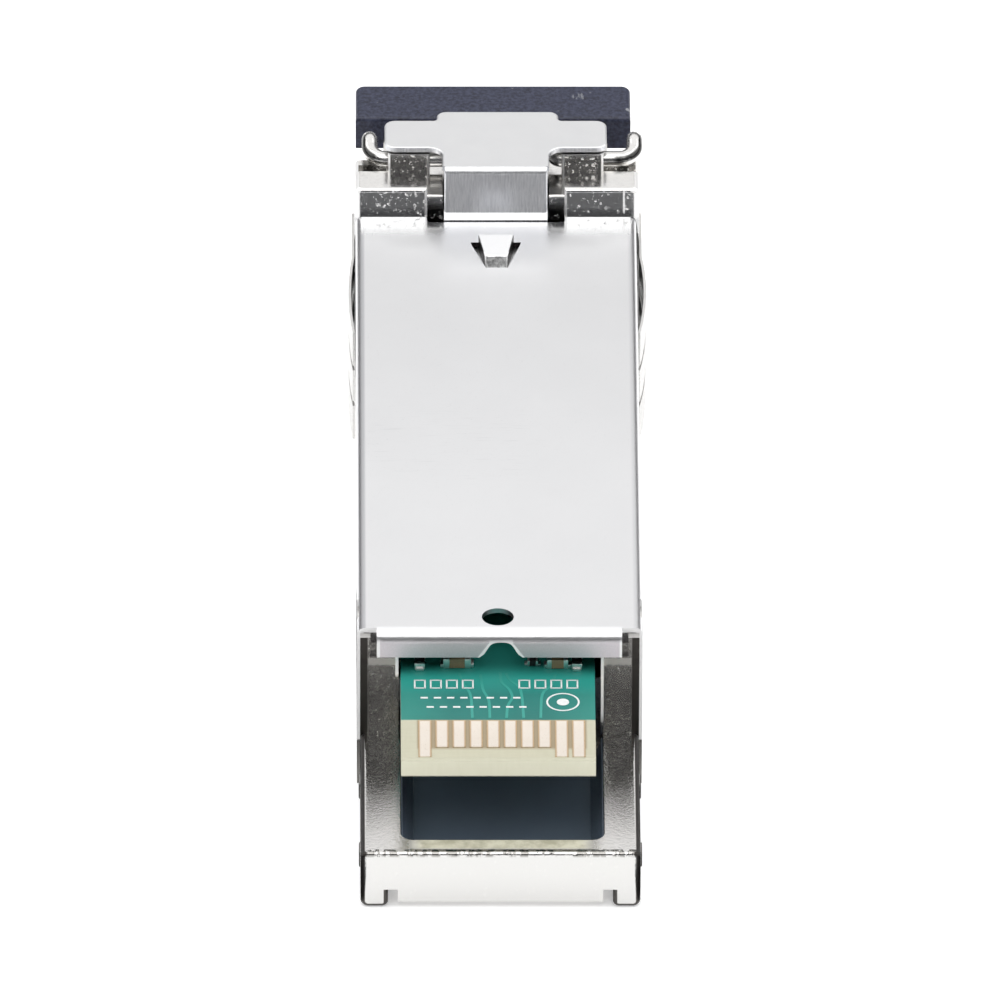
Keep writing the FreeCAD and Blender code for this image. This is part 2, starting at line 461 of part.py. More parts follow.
diode = cyl((-4.0, YC, AXIS_Z), (1, 0, 0), 2.3, 1.2).fuse(cyl((-2.9, YC, AXIS_Z), (1, 0, 0), 1.48, 1.1))
put("photodiode_can", diode.removeSplitter())
lpins = [cyl((a, -14.1, AXIS_Z + b), (0, 1, 0), 0.22, 1.4) for a, b in ((-0.9, -0.9), (0.9, -0.9), (-0.9, 0.4), (0.9, 0.4))]
put("laser_pins", Part.makeCompound(lpins))
dpins = [cyl((-4.95, YC + a, AXIS_Z + b), (1, 0, 0), 0.22, 0.95) for a, b in ((-0.9, -0.6), (0.9, -0.6), (0, 0.6), (0, -1.4))]
put("photodiode_pins", Part.makeCompound(dpins))
lflex = box(-2.2, 2.2, -13.42, -13.30, -6.3, PCB_BOT).fuse(box(-2.2, 2.2, -16.4, -13.30, PCB_BOT - 0.12, PCB_BOT))
lflex = lflex.cut(lpins)
put("laser_flex", lflex.removeSplitter())
dflex = box(-4.52, -4.40, -14.9, -6.4, -6.3, PCB_BOT - 0.12).fuse(box(-4.52, -2.6, -14.9, -13.5, PCB_BOT - 0.12, PCB_BOT))
dflex = dflex.cut(dpins)
put("photodiode_flex", dflex.removeSplitter())
clamp = box(-2.5, 2.5, -5.69, -5.51, AXIS_Z - 2.55, AXIS_Z + 2.0).cut(cyl((0, -6, AXIS_Z), (0, 1, 0), 1.47, 2))
clamp = clamp.cut(box(-1.47, 1.47, -6, -5, AXIS_Z, 0))
put("optics_clamp", clamp)

# ---------------------------------------------------------------------------
# Insulating film on the pocket floor and the blank label on the plateau
# ---------------------------------------------------------------------------
film = box(POCKET_X0 + 0.1, POCKET_X1 - 0.1, POCKET_REAR + 0.1, COVER_REAR - 0.1, POCKET_FLOOR, POCKET_FLOOR + 0.1)
film = fillet(film, 0.55, lambda a, b: along(a, b, "z") and near(a.y, POCKET_REAR + 0.1))
put("insulating_film", film)
lab = box(-4.3, 4.3, -44.5, -3.5, PLATEAU_Z - 0.08, PLATEAU_Z)
lab = fillet(lab, 0.6, lambda a, b: along(a, b, "z"))
put("blank_label", lab)

# ---------------------------------------------------------------------------
# Export
# ---------------------------------------------------------------------------
for name, shape in NODES.items():
    s = shape.copy()
    s.translate(V(0, Y0, Z0))
    sol = s.Solids
    bad = [k for k in sol if not k.isValid()]
    out = sol[0] if len(sol) == 1 else Part.makeCompound(sol)
    b = out.BoundBox
    print("%-24s solids %2d bad %d vol %9.3f  x %.2f %.2f  y %.2f %.2f  z %.2f %.2f" % (
        name, len(sol), len(bad), sum(k.Volume for k in sol), b.XMin, b.XMax, b.YMin, b.YMax, b.ZMin, b.ZMax))
    out.exportStep("parts/%s.step" % name)
print("bail wire length %.2f" % bail_len)
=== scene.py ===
import bpy, bmesh, json, random
from math import sin, cos, pi, radians, degrees, sqrt, hypot, atan2
from mathutils import Vector, Matrix

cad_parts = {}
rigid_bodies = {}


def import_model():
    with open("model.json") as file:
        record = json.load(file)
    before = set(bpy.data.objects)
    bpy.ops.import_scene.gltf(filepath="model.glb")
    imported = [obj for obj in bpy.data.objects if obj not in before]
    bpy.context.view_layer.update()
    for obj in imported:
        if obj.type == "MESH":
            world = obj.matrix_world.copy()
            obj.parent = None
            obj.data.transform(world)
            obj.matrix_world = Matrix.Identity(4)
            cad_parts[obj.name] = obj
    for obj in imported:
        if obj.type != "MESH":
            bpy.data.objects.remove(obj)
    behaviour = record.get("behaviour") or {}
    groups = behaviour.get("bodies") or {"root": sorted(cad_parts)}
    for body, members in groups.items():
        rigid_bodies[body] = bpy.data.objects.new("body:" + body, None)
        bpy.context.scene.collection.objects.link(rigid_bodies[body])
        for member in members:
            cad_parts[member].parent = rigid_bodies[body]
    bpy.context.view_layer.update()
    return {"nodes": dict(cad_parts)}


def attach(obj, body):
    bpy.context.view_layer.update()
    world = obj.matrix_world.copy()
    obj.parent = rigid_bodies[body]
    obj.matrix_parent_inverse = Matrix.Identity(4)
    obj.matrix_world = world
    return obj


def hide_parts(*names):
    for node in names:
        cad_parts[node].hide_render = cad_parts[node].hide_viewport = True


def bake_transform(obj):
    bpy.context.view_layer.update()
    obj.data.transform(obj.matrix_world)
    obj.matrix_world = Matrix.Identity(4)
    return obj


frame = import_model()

SC = bpy.context.scene
NODE = frame["nodes"]
Y0, Z0 = 19.15, 8.62          # module coordinates (mm) -> frame
MM = 0.001


def L(x, y, z):
    """Module coordinates in mm: x across, y forward of the latch shoulder, z from the cover's outer face."""
    return Vector((x * MM, (y + Y0) * MM, (z + Z0) * MM))


# ---------------------------------------------------------------------------
# Node-material helper
# ---------------------------------------------------------------------------
class Mat:
    """A principled material whose patterns live in the piece's own coordinates, in mm."""

    def __init__(self, name, color=(0.5, 0.5, 0.5), metallic=0.0, rough=0.5, **extra):
        self.m = bpy.data.materials.new(name)
        self.m.use_nodes = True
        self.nt = self.m.node_tree
        self.nt.nodes.clear()
        self.out = self.new("ShaderNodeOutputMaterial")
        self.b = self.new("ShaderNodeBsdfPrincipled")
        self.link(self.b.outputs[0], self.out.inputs[0])
        self.set("Base Color", color)
        self.set("Metallic", metallic)
        self.set("Roughness", rough)
        for k, v in extra.items():
            self.set(k.replace("_", " "), v)
        tc = self.new("ShaderNodeTexCoord")
        sc = self.new("ShaderNodeVectorMath")
        sc.operation = "MULTIPLY_ADD"
        self.link(tc.outputs["Object"], sc.inputs[0])
        sc.inputs[1].default_value = (1000, 1000, 1000)
        sc.inputs[2].default_value = (0, -Y0, -Z0)
        self.P = sc.outputs[0]
        self._xyz = None
        self._nrm = None

    def new(self, kind):
        return self.nt.nodes.new(kind)

    def link(self, a, b):
        self.nt.links.new(a, b)

    def feed(self, sock, v):
        if hasattr(v, "is_output"):
            self.link(v, sock)
        elif isinstance(v, (tuple, list)):
            v = tuple(v)
            sock.default_value = v if len(sock.default_value) == len(v) else v + (1.0,)
        else:
            sock.default_value = v

    def set(self, name, v):
        self.feed(self.b.inputs[name], v)

    def xyz(self):
        if self._xyz is None:
            s = self.new("ShaderNodeSeparateXYZ")
            self.link(self.P, s.inputs[0])
            self._xyz = s.outputs
        return self._xyz

    def normal(self):
        if self._nrm is None:
            tc = self.new("ShaderNodeTexCoord")
            s = self.new("ShaderNodeSeparateXYZ")
            self.link(tc.outputs["Normal"], s.inputs[0])
            self._nrm = s.outputs
        return self._nrm

    def scaled(self, sx, sy, sz, rot=None):
        n = self.new("ShaderNodeMapping")
        self.link(self.P, n.inputs[0])
        n.inputs["Scale"].default_value = (sx, sy, sz)
        if rot:
            n.inputs["Rotation"].default_value = rot
        return n.outputs[0]

    def noise(self, scale, detail=3.0, rough=0.55, vec=None, dist=0.0):
        n = self.new("ShaderNodeTexNoise")
        self.link(vec or self.P, n.inputs["Vector"])
        n.inputs["Scale"].default_value = scale
        n.inputs["Detail"].default_value = detail
        n.inputs["Roughness"].default_value = rough
        n.inputs["Distortion"].default_value = dist
        return n.outputs[0]

    def voro(self, scale, vec=None, feature="F1", rand=1.0, out=0):
        n = self.new("ShaderNodeTexVoronoi")
        n.feature = feature
        self.link(vec or self.P, n.inputs["Vector"])
        n.inputs["Scale"].default_value = scale
        n.inputs["Randomness"].default_value = rand
        return n.outputs[out]

    def math(self, op, a, b=0.0, c=None, clamp=False):
        n = self.new("ShaderNodeMath")
        n.operation = op
        n.use_clamp = clamp
        self.feed(n.inputs[0], a)
        self.feed(n.inputs[1], b)
        if c is not None:
            self.feed(n.inputs[2], c)
        return n.outputs[0]

    def rng(self, v, a, b, c=0.0, d=1.0, smooth=False):
        n = self.new("ShaderNodeMapRange")
        n.clamp = True
        if smooth:
            n.interpolation_type = "SMOOTHSTEP"
        self.feed(n.inputs[0], v)
        for i, x in enumerate((a, b, c, d)):
            self.feed(n.inputs[i + 1], x)
        return n.outputs[0]

    def mixc(self, f, a, b):
        n = self.new("ShaderNodeMix")
        n.data_type = "RGBA"
        n.clamp_factor = True
        self.feed(n.inputs[0], f)
        self.feed(n.inputs[6], a)
        self.feed(n.inputs[7], b)
        return n.outputs[2]

    def bump(self, height, dist_um, strength=1.0, normal=None):
        n = self.new("ShaderNodeBump")
        n.inputs["Strength"].default_value = strength
        n.inputs["Distance"].default_value = dist_um * 1e-6
        self.link(height, n.inputs["Height"])
        if normal is not None:
            self.link(normal, n.inputs["Normal"])
        return n.outputs[0]

    def box_mask(self, x0, x1, y0, y1, soft):
        """1 inside a box of the x-y plane, fading to 0 over soft mm."""
        x, y, _ = self.xyz()
        a = self.rng(x, x0 - soft, x0, smooth=True)
        b = self.rng(x, x1, x1 + soft, 1.0, 0.0, smooth=True)
        c = self.rng(y, y0 - soft, y0, smooth=True)
        d = self.rng(y, y1, y1 + soft, 1.0, 0.0, smooth=True)
        return self.math("MULTIPLY", self.math("MULTIPLY", a, b), self.math("MULTIPLY", c, d))


# ---------------------------------------------------------------------------
# Finishes
# ---------------------------------------------------------------------------
def make_cast():
    """Bright nickel over a zinc casting: tooled faces mirror-like, drafted faces chipped, painted highlights on the
    rounded edges at the nose, and painted shade on the rounded edges round the rear cradle."""
    m = Mat("cast_nickel_skin", metallic=1.0)
    x, y, z = m.xyz()
    nx, ny, nz = m.normal()
    anx, any_, anz = (m.math("ABSOLUTE", v) for v in (nx, ny, nz))
    upr = m.rng(anz, 0.35, 0.75, 1.0, 0.0)
    flat = m.math("MAXIMUM", anx, m.math("MAXIMUM", any_, anz))
    rounded = m.rng(flat, 0.955, 0.985, 1.0, 0.0)
    fore = m.rng(y, -0.6, -0.3)
    rear = m.rng(y, -37.2, -36.9, 1.0, 0.0)
    cloud = m.noise(0.35, 3, 0.5)
    grain = m.noise(5.5, 4, 0.62)
    fine = m.noise(19.0, 3, 0.6)
    # chipped plating
    wn_ = m.new("ShaderNodeTexNoise")
    m.link(m.P, wn_.inputs["Vector"])
    wn_.inputs["Scale"].default_value = 4.5
    wn_.inputs["Detail"].default_value = 3.0
    wp = m.new("ShaderNodeVectorMath")
    wp.operation = "MULTIPLY_ADD"
    m.link(wn_.outputs[1], wp.inputs[0])
    wp.inputs[1].default_value = (0.42, 0.42, 0.42)
    m.link(m.P, wp.inputs[2])
    chips = m.voro(3.1, wp.outputs[0])
    chip = m.math("MULTIPLY", m.rng(chips, 0.10, 0.25, 1.0, 0.0), m.rng(m.noise(2.1, 2, 0.5), 0.43, 0.50))
    specks = m.voro(7.5, wp.outputs[0])
    speck = m.math("MULTIPLY", m.rng(specks, 0.08, 0.22, 1.0, 0.0), m.rng(m.noise(3.1, 2, 0.5), 0.45, 0.52))
    pit = m.math("MAXIMUM", chip, m.math("MULTIPLY", speck, 0.8))
    pit = m.math("MULTIPLY", m.math("MULTIPLY", pit, upr), m.math("MULTIPLY_ADD", fore, 0.9, 0.1))
    post = m.rng(y, 1.0, 1.3)
    pit = m.math("MULTIPLY", pit, m.math("MULTIPLY_ADD", post, -0.35, 1.0))
    # painted highlights: bright, rough rounded edges at the nose
    flank = m.rng(m.math("ABSOLUTE", x), 6.40, 6.46)
    painted_edge_highlight = m.math("MULTIPLY", m.math("MULTIPLY", rounded, fore), m.math("MAXIMUM", m.rng(anz, 0.25, 0.5, 1.0, 0.0), flank))
    painted_edge_highlight = m.math("MULTIPLY", painted_edge_highlight, m.rng(z, -0.15, 0.0))
    # painted shade on the rounded edges round the cradle and on the flange ends
    painted_edge_shade = m.math("MULTIPLY", m.math("MULTIPLY", rounded, rear),
                  m.math("MAXIMUM", m.rng(m.math("ABSOLUTE", x), 6.20, 6.27), m.rng(z, -7.7, -7.4, 1.0, 0.0)))
    painted_end_shade = m.math("MULTIPLY", m.rng(m.math("ABSOLUTE", x), 6.16, 6.22), m.rng(y, -36.75, -36.60, 1.0, 0.0))
    painted_end_shade = m.math("MULTIPLY", painted_end_shade, m.rng(y, -38.2, -38.0))
    painted_edge_shade = m.math("MAXIMUM", painted_edge_shade, m.math("MULTIPLY", painted_end_shade, m.rng(ny, -0.8, -0.6, 1.0, 0.0)))
    # painted highlight lines up the mouth of the bay, and a pale, rougher band under the cover's lip
    wall = m.math("MULTIPLY", m.rng(ny, -0.9, -0.7, 1.0, 0.0), m.math("MULTIPLY", m.rng(y, -38.2, -38.0), m.rng(y, -36.5, -36.3, 1.0, 0.0)))
    right = m.math("MULTIPLY", m.rng(x, 4.74, 4.76), m.math("MULTIPLY", m.rng(x, 4.86, 4.90, 1.0, 0.0), m.rng(z, -5.2, -4.6)))
    left = m.math("MULTIPLY", m.rng(x, -4.92, -4.88), m.math("MULTIPLY", m.rng(x, -4.76, -4.74, 1.0, 0.0), m.rng(z, -2.5, -2.3)))
    painted_mouth_highlight = m.math("MULTIPLY", m.math("MAXIMUM", right, left), wall)
    under = m.math("MULTIPLY", wall, m.math("MULTIPLY", m.rng(z, -1.90, -1.70), m.rng(z, -1.45, -1.35, 1.0, 0.0)))
    painted_edge_highlight = m.math("MAXIMUM", painted_edge_highlight, painted_mouth_highlight)
    # one painted highlight line down the right-hand shoulder block
    painted_block_highlight = m.math("MULTIPLY", m.rng(x, 6.05, 6.09), m.math("MULTIPLY", m.rng(x, 6.15, 6.19, 1.0, 0.0), m.rng(z, 0.12, 0.30)))
    painted_block_highlight = m.math("MULTIPLY", painted_block_highlight, m.math("MULTIPLY", m.rng(ny, -0.9, -0.7, 1.0, 0.0), m.math("MULTIPLY", fore, m.rng(y, 1.0, 1.3, 1.0, 0.0))))
    painted_edge_highlight = m.math("MAXIMUM", painted_edge_highlight, m.math("MULTIPLY", painted_block_highlight, m.rng(m.noise(2.4, 2, 0.5), 0.36, 0.46, 0.5, 1.0)))
    # a painted reflection of the board, as an olive-cream strip behind the pocket, and the hammered rear corner
    ax = m.math("ABSOLUTE", m.math("SUBTRACT", x, 0.05))
    painted_board_reflection = m.math("MULTIPLY", m.rng(ax, 3.6, 4.6, 1.0, 0.0, True), m.rng(y, -47.22, -46.98, 0.0, 1.0, True))
    painted_board_reflection = m.math("MULTIPLY", painted_board_reflection, m.math("MULTIPLY", m.rng(nz, 0.6, 0.9), m.rng(z, -6.4, -6.2)))
    painted_board_reflection = m.math("MULTIPLY", painted_board_reflection, m.rng(y, -46.2, -46.0, 1.0, 0.0))
    corner = m.math("MULTIPLY", m.rng(y, -47.28, -47.16, 1.0, 0.0), m.rng(z, -5.85, -5.75))
    beat = m.math("MULTIPLY", m.rng(m.noise(1.0, 3, 0.6, m.scaled(2.6, 1.0, 1.0)), 0.47, 0.55), corner)
    back = m.math("MULTIPLY", m.rng(ny, -0.97, -0.93, 1.0, 0.0), m.rng(y, -47.45, -47.40, 1.0, 0.0))
    plate = m.mixc(cloud, (0.67, 0.655, 0.63), (0.76, 0.75, 0.735))
    skin = m.math("MULTIPLY", m.math("MULTIPLY", upr, fore), m.math("SUBTRACT", 1.0, post))
    # painted shade: the rear-facing walls by the cover's lip are darker
    plate = m.mixc(m.math("MULTIPLY", wall, 0.55), plate, (0.47, 0.465, 0.43))
    plate = m.mixc(back, plate, (0.635, 0.63, 0.615))
    plate = m.mixc(m.math("MULTIPLY", skin, 0.62), plate, (0.42, 0.43, 0.445))
    # painted shadow of the bail where it lies in its trough
    painted_bail_shadow = m.math("MULTIPLY", m.rng(m.math("ABSOLUTE", x), 5.75, 5.95), m.rng(m.math("ABSOLUTE", x), 6.28, 6.38, 1.0, 0.0))
    painted_bail_shadow = m.math("MULTIPLY", painted_bail_shadow, m.math("MULTIPLY", m.rng(y, 1.9, 2.2), m.math("MULTIPLY", m.rng(y, 4.2, 4.6, 1.0, 0.0), m.rng(z, 0.1, 0.3))))
    plate = m.mixc(m.math("MULTIPLY", painted_bail_shadow, 0.85), plate, (0.10, 0.098, 0.09))
    plate = m.mixc(m.math("MULTIPLY", beat, 0.70), plate, (0.20, 0.19, 0.17))
    plate = m.mixc(m.math("MULTIPLY", pit, 0.9), plate, (0.95, 0.94, 0.92))
    plate = m.mixc(painted_edge_highlight, plate, (0.97, 0.965, 0.955))
    reflection_mottle = m.rng(m.noise(1.3, 3, 0.6), 0.36, 0.62)
    plate = m.mixc(m.math("MULTIPLY", painted_board_reflection, 0.9), plate, m.mixc(reflection_mottle, (0.33, 0.315, 0.215), (0.54, 0.525, 0.40)))
    m.set("Metallic", m.math("MULTIPLY", m.rng(painted_board_reflection, 0.0, 0.9, 1.0, 0.05), m.rng(m.math("MAXIMUM", painted_mouth_highlight, painted_block_highlight), 0.0, 1.0, 1.0, 0.25)))
    m.set("Base Color", m.mixc(m.math("MULTIPLY", painted_edge_shade, 0.93), plate, (0.030, 0.026, 0.023)))
    rough = m.math("ADD", m.rng(grain, 0.3, 0.7, 0.10, 0.18), m.math("MULTIPLY", pit, 0.26))
    rough = m.math("MULTIPLY_ADD", painted_edge_highlight, 0.40, rough)
    rough = m.math("MULTIPLY_ADD", under, 0.22, rough)
    rough = m.math("MULTIPLY_ADD", m.math("MULTIPLY", m.rng(nz, 0.8, 0.95), m.rng(y, -42.5, -40.5, 1.0, 0.0)), 0.09, rough)
    rough = m.math("MULTIPLY_ADD", painted_edge_shade, 0.25, rough)
    m.set("Roughness", m.math("MULTIPLY_ADD", painted_board_reflection, 0.30, rough))
    pebble = m.math("MULTIPLY", m.math("MULTIPLY", m.noise(8.5, 2, 0.5), 0.50), m.math("MULTIPLY", rear, m.rng(nz, 0.8, 0.95)))
    h = m.math("ADD", m.math("MULTIPLY", grain, m.rng(skin, 0.0, 1.0, 0.26, 0.10)), m.math("MULTIPLY", pit, 1.3))
    h = m.math("ADD", h, pebble)
    h = m.math("MULTIPLY_ADD", beat, 1.2, h)
    n1 = m.bump(h, 22.0, 0.9)
    m.set("Normal", m.bump(fine, 2.6, 0.8, n1))
    return m.m


def make_sheet():
    """Nickel-plated sheet: smooth satin, faint handling marks."""
    m = Mat("nickel_sheet_satin", metallic=1.0)
    cloud = m.noise(0.22, 3, 0.55)
    fine = m.noise(14.0, 3, 0.6)
    s1 = m.noise(1.0, 3, 0.6, m.scaled(0.55, 9.0, 1.0, (0, 0, radians(24))))
    s2 = m.noise(1.0, 3, 0.6, m.scaled(0.5, 11.0, 1.0, (0, 0, radians(-52))))
    rub_and_highlight = m.box_mask(-5.4, 0.8, -22.5, -18.0, 2.2)
    mark = m.math("MULTIPLY", m.math("MAXIMUM", m.rng(s1, 0.60, 0.72), m.rng(s2, 0.63, 0.75)), rub_and_highlight)
    col = m.mixc(cloud, (0.770, 0.770, 0.776), (0.818, 0.818, 0.822))
    x, y, z = m.xyz()
    _, ny, nz = m.normal()
    top = m.rng(nz, 0.45, 0.8)
    wall = m.math("MULTIPLY", m.rng(ny, -0.9, -0.6, 1.0, 0.0), m.rng(nz, 0.2, 0.5, 1.0, 0.0))
    # painted shade: rear-facing walls darker, with a faint magenta tint
    col = m.mixc(wall, col, m.mixc(fine, (0.58, 0.552, 0.585), (0.76, 0.725, 0.765)))
    col = m.mixc(m.math("MULTIPLY", m.rng(y, -24.0, -9.0, 1.0, 0.0), top), col, m.mixc(cloud, (0.825, 0.825, 0.830), (0.868, 0.868, 0.872)))
    # painted shade where the side bends begin, and painted light on the flat just in front of the shoulder, smoother
    # beside the shoulder blocks
    painted_bend_shade = m.math("MULTIPLY", m.rng(m.math("ABSOLUTE", x), 6.24, 6.36, 0.0, 1.0, True), top)
    col = m.mixc(m.math("MULTIPLY", painted_bend_shade, m.rng(x, -1.0, 1.0, 0.62, 0.20)), col, (0.42, 0.42, 0.44))
    ax = m.math("ABSOLUTE", x)
    painted_foot_glow = m.math("MULTIPLY", m.rng(y, -1.9, -0.7, 0.0, 1.0, True), m.rng(nz, 0.9, 0.97))
    col = m.mixc(m.math("MULTIPLY", painted_foot_glow, 0.9), col, (0.98, 0.98, 0.98))
    painted_foot_glow = m.math("MULTIPLY", painted_foot_glow, m.rng(ax, 2.1, 2.9, 0.0, 1.0, True))
    # painted shade: rear-facing walls forward of y = -9 mm are near black
    painted_window_shade = m.math("MULTIPLY", wall, m.rng(y, -10.0, -9.0))
    col = m.mixc(painted_window_shade, col, (0.035, 0.030, 0.032))
    # painted highlights on the sheared edges: ends of the flanges, ends of the lip and its relief
    side = m.math("ABSOLUTE", m.math("SUBTRACT", x, 0.06))
    span = m.rng(z, -1.27, -0.52, 0.98, 0.42)
    near_ = m.math("MULTIPLY", m.rng(m.math("SUBTRACT", side, span), 0.10, 0.16, 1.0, 0.0), m.rng(z, -0.42, -0.36, 1.0, 0.0))
    painted_shear_highlight = m.math("MAXIMUM", near_, m.rng(ax, 5.60, 5.64))
    painted_shear_highlight = m.math("MULTIPLY", painted_shear_highlight, m.math("MULTIPLY", wall, m.rng(y, -30.0, -29.0, 1.0, 0.0)))
    col = m.mixc(painted_shear_highlight, col, (0.93, 0.93, 0.93))
    m.set("Metallic", m.rng(painted_shear_highlight, 0.0, 1.0, 1.0, 0.15))
    m.set("Base Color", m.mixc(m.math("MULTIPLY", mark, 0.30), col, (0.62, 0.62, 0.63)))
    r = m.math("ADD", m.rng(fine, 0.3, 0.7, 0.27, 0.35), m.math("MULTIPLY", mark, 0.10))
    r = m.math("MULTIPLY_ADD", wall, 0.10, r)
    r = m.math("MULTIPLY", r, m.math("MULTIPLY_ADD", painted_foot_glow, -0.60, 1.0))
    m.set("Roughness", r)
    n1 = m.bump(fine, 1.6, 0.6)
    n2 = m.bump(m.noise(1.6, 2, 0.5), 5.0, 0.5, n1)
    m.set("Normal", m.bump(mark, 1.5, 0.5, n2))
    return m.m


def make_latch():
    """Rocker: satin nickel, drawn vertical marks on the web."""
    m = Mat("latch_satin", metallic=1.0)
    _, _, nz = m.normal()
    up = m.rng(m.math("ABSOLUTE", nz), 0.35, 0.75)
    streak = m.noise(1.0, 4, 0.65, m.scaled(13.0, 13.0, 0.55))
    fine = m.noise(12.0, 3, 0.6)
    cloud = m.noise(0.7, 3, 0.5)
    st = m.rng(streak, 0.35, 0.68)
    web = m.mixc(st, (0.69, 0.70, 0.725), (0.91, 0.915, 0.935))
    top = m.mixc(cloud, (0.80, 0.802, 0.808), (0.86, 0.86, 0.862))
    x, y, z = m.xyz()
    nx, ny, nz2 = m.normal()
    shade = m.math("MULTIPLY", m.rng(m.math("ABSOLUTE", nx), 0.80, 0.92), m.rng(y, -2.3, -2.1, 1.0, 0.0))
    col = m.mixc(shade, m.mixc(up, web, top), (0.045, 0.043, 0.042))
    # chipped rear end of the boss, with painted highlights on its two rounded corners
    tail = m.math("MULTIPLY", m.rng(y, -3.85, -3.75, 1.0, 0.0), m.rng(ny, -0.85, -0.7, 1.0, 0.0))
    dents = m.rng(m.noise(3.4, 3, 0.55), 0.40, 0.60)
    col = m.mixc(tail, col, m.mixc(dents, (0.50, 0.50, 0.50), (0.97, 0.97, 0.965)))
    anx = m.math("ABSOLUTE", nx)
    rub_and_highlight = m.math("MULTIPLY", m.rng(y, -3.75, -3.65, 1.0, 0.0), m.math("MULTIPLY", m.rng(anx, 0.22, 0.32), m.rng(anx, 0.93, 0.97, 1.0, 0.0)))
    col = m.mixc(rub_and_highlight, col, (0.95, 0.95, 0.945))
    m.set("Metallic", m.rng(rub_and_highlight, 0.0, 1.0, 1.0, 0.2))
    m.set("Base Color", col)
    m.set("Roughness", m.math("MULTIPLY_ADD", tail, 0.16, m.rng(fine, 0.3, 0.7, 0.30, 0.42)))
    n1 = m.bump(m.math("MULTIPLY", dents, tail), 30.0, 0.8, m.bump(streak, 5.0, 0.5))
    mix = m.new("ShaderNodeMix")
    mix.data_type = "VECTOR"
    m.feed(mix.inputs[0], up)
    m.link(n1, mix.inputs[4])
    m.link(m.bump(fine, 2.0, 0.6), mix.inputs[5])
    m.set("Normal", mix.outputs[1])
    return m.m


def make_wire():
    m = Mat("drawn_wire", metallic=1.0)
    draw = m.noise(1.0, 3, 0.6, m.scaled(1.2, 14.0, 14.0))
    blot = m.noise(1.8, 3, 0.6)
    nx, ny, nz = m.normal()
    x, y, z = m.xyz()
    out = m.math("MULTIPLY", nx, m.math("SIGN", x))
    face = m.math("ADD", m.math("MULTIPLY", ny, -0.77), m.math("MULTIPLY", out, 0.64))
    # painted reflection: a dark stripe along the bail's outer bends and arms
    painted_wire_stripe = m.math("MULTIPLY", m.rng(nz, 0.02, 0.14), m.rng(nz, 0.72, 0.86, 1.0, 0.0))
    painted_wire_stripe = m.math("MULTIPLY", painted_wire_stripe, m.math("MULTIPLY", m.rng(face, 0.22, 0.40), m.rng(blot, 0.34, 0.46, 0.8, 1.0)))
    painted_wire_stripe = m.math("MULTIPLY", painted_wire_stripe, m.math("MULTIPLY", m.rng(y, 4.6, 5.0, 1.0, 0.0), m.rng(m.math("ABSOLUTE", x), 5.55, 5.80)))
    m.set("Base Color", m.mixc(painted_wire_stripe, m.mixc(blot, (0.66, 0.65, 0.63), (0.80, 0.79, 0.775)), (0.06, 0.06, 0.058)))
    m.set("Roughness", m.rng(draw, 0.3, 0.7, 0.16, 0.30))
    m.set("Normal", m.bump(draw, 3.0, 0.5))
    return m.m


def make_steel(name="plain_steel", a=(0.55, 0.55, 0.56), b=(0.68, 0.68, 0.69), rough=(0.24, 0.38)):
    m = Mat(name, metallic=1.0)
    fine = m.noise(9.0, 4, 0.6)
    m.set("Base Color", m.mixc(m.noise(1.1, 3, 0.55), a, b))
    m.set("Roughness", m.rng(fine, 0.3, 0.7, *rough))
    m.set("Normal", m.bump(fine, 3.0, 0.6))
    return m.m


def make_spring():
    m = Mat("spring_sheet_rolled", metallic=1.0)
    roll = m.noise(1.0, 4, 0.6, m.scaled(14.0, 0.5, 14.0))
    m.set("Base Color", m.mixc(roll, (0.64, 0.635, 0.62), (0.80, 0.79, 0.775)))
    m.set("Roughness", m.rng(roll, 0.3, 0.7, 0.22, 0.36))
    m.set("Normal", m.bump(roll, 2.0, 0.5))
    return m.m


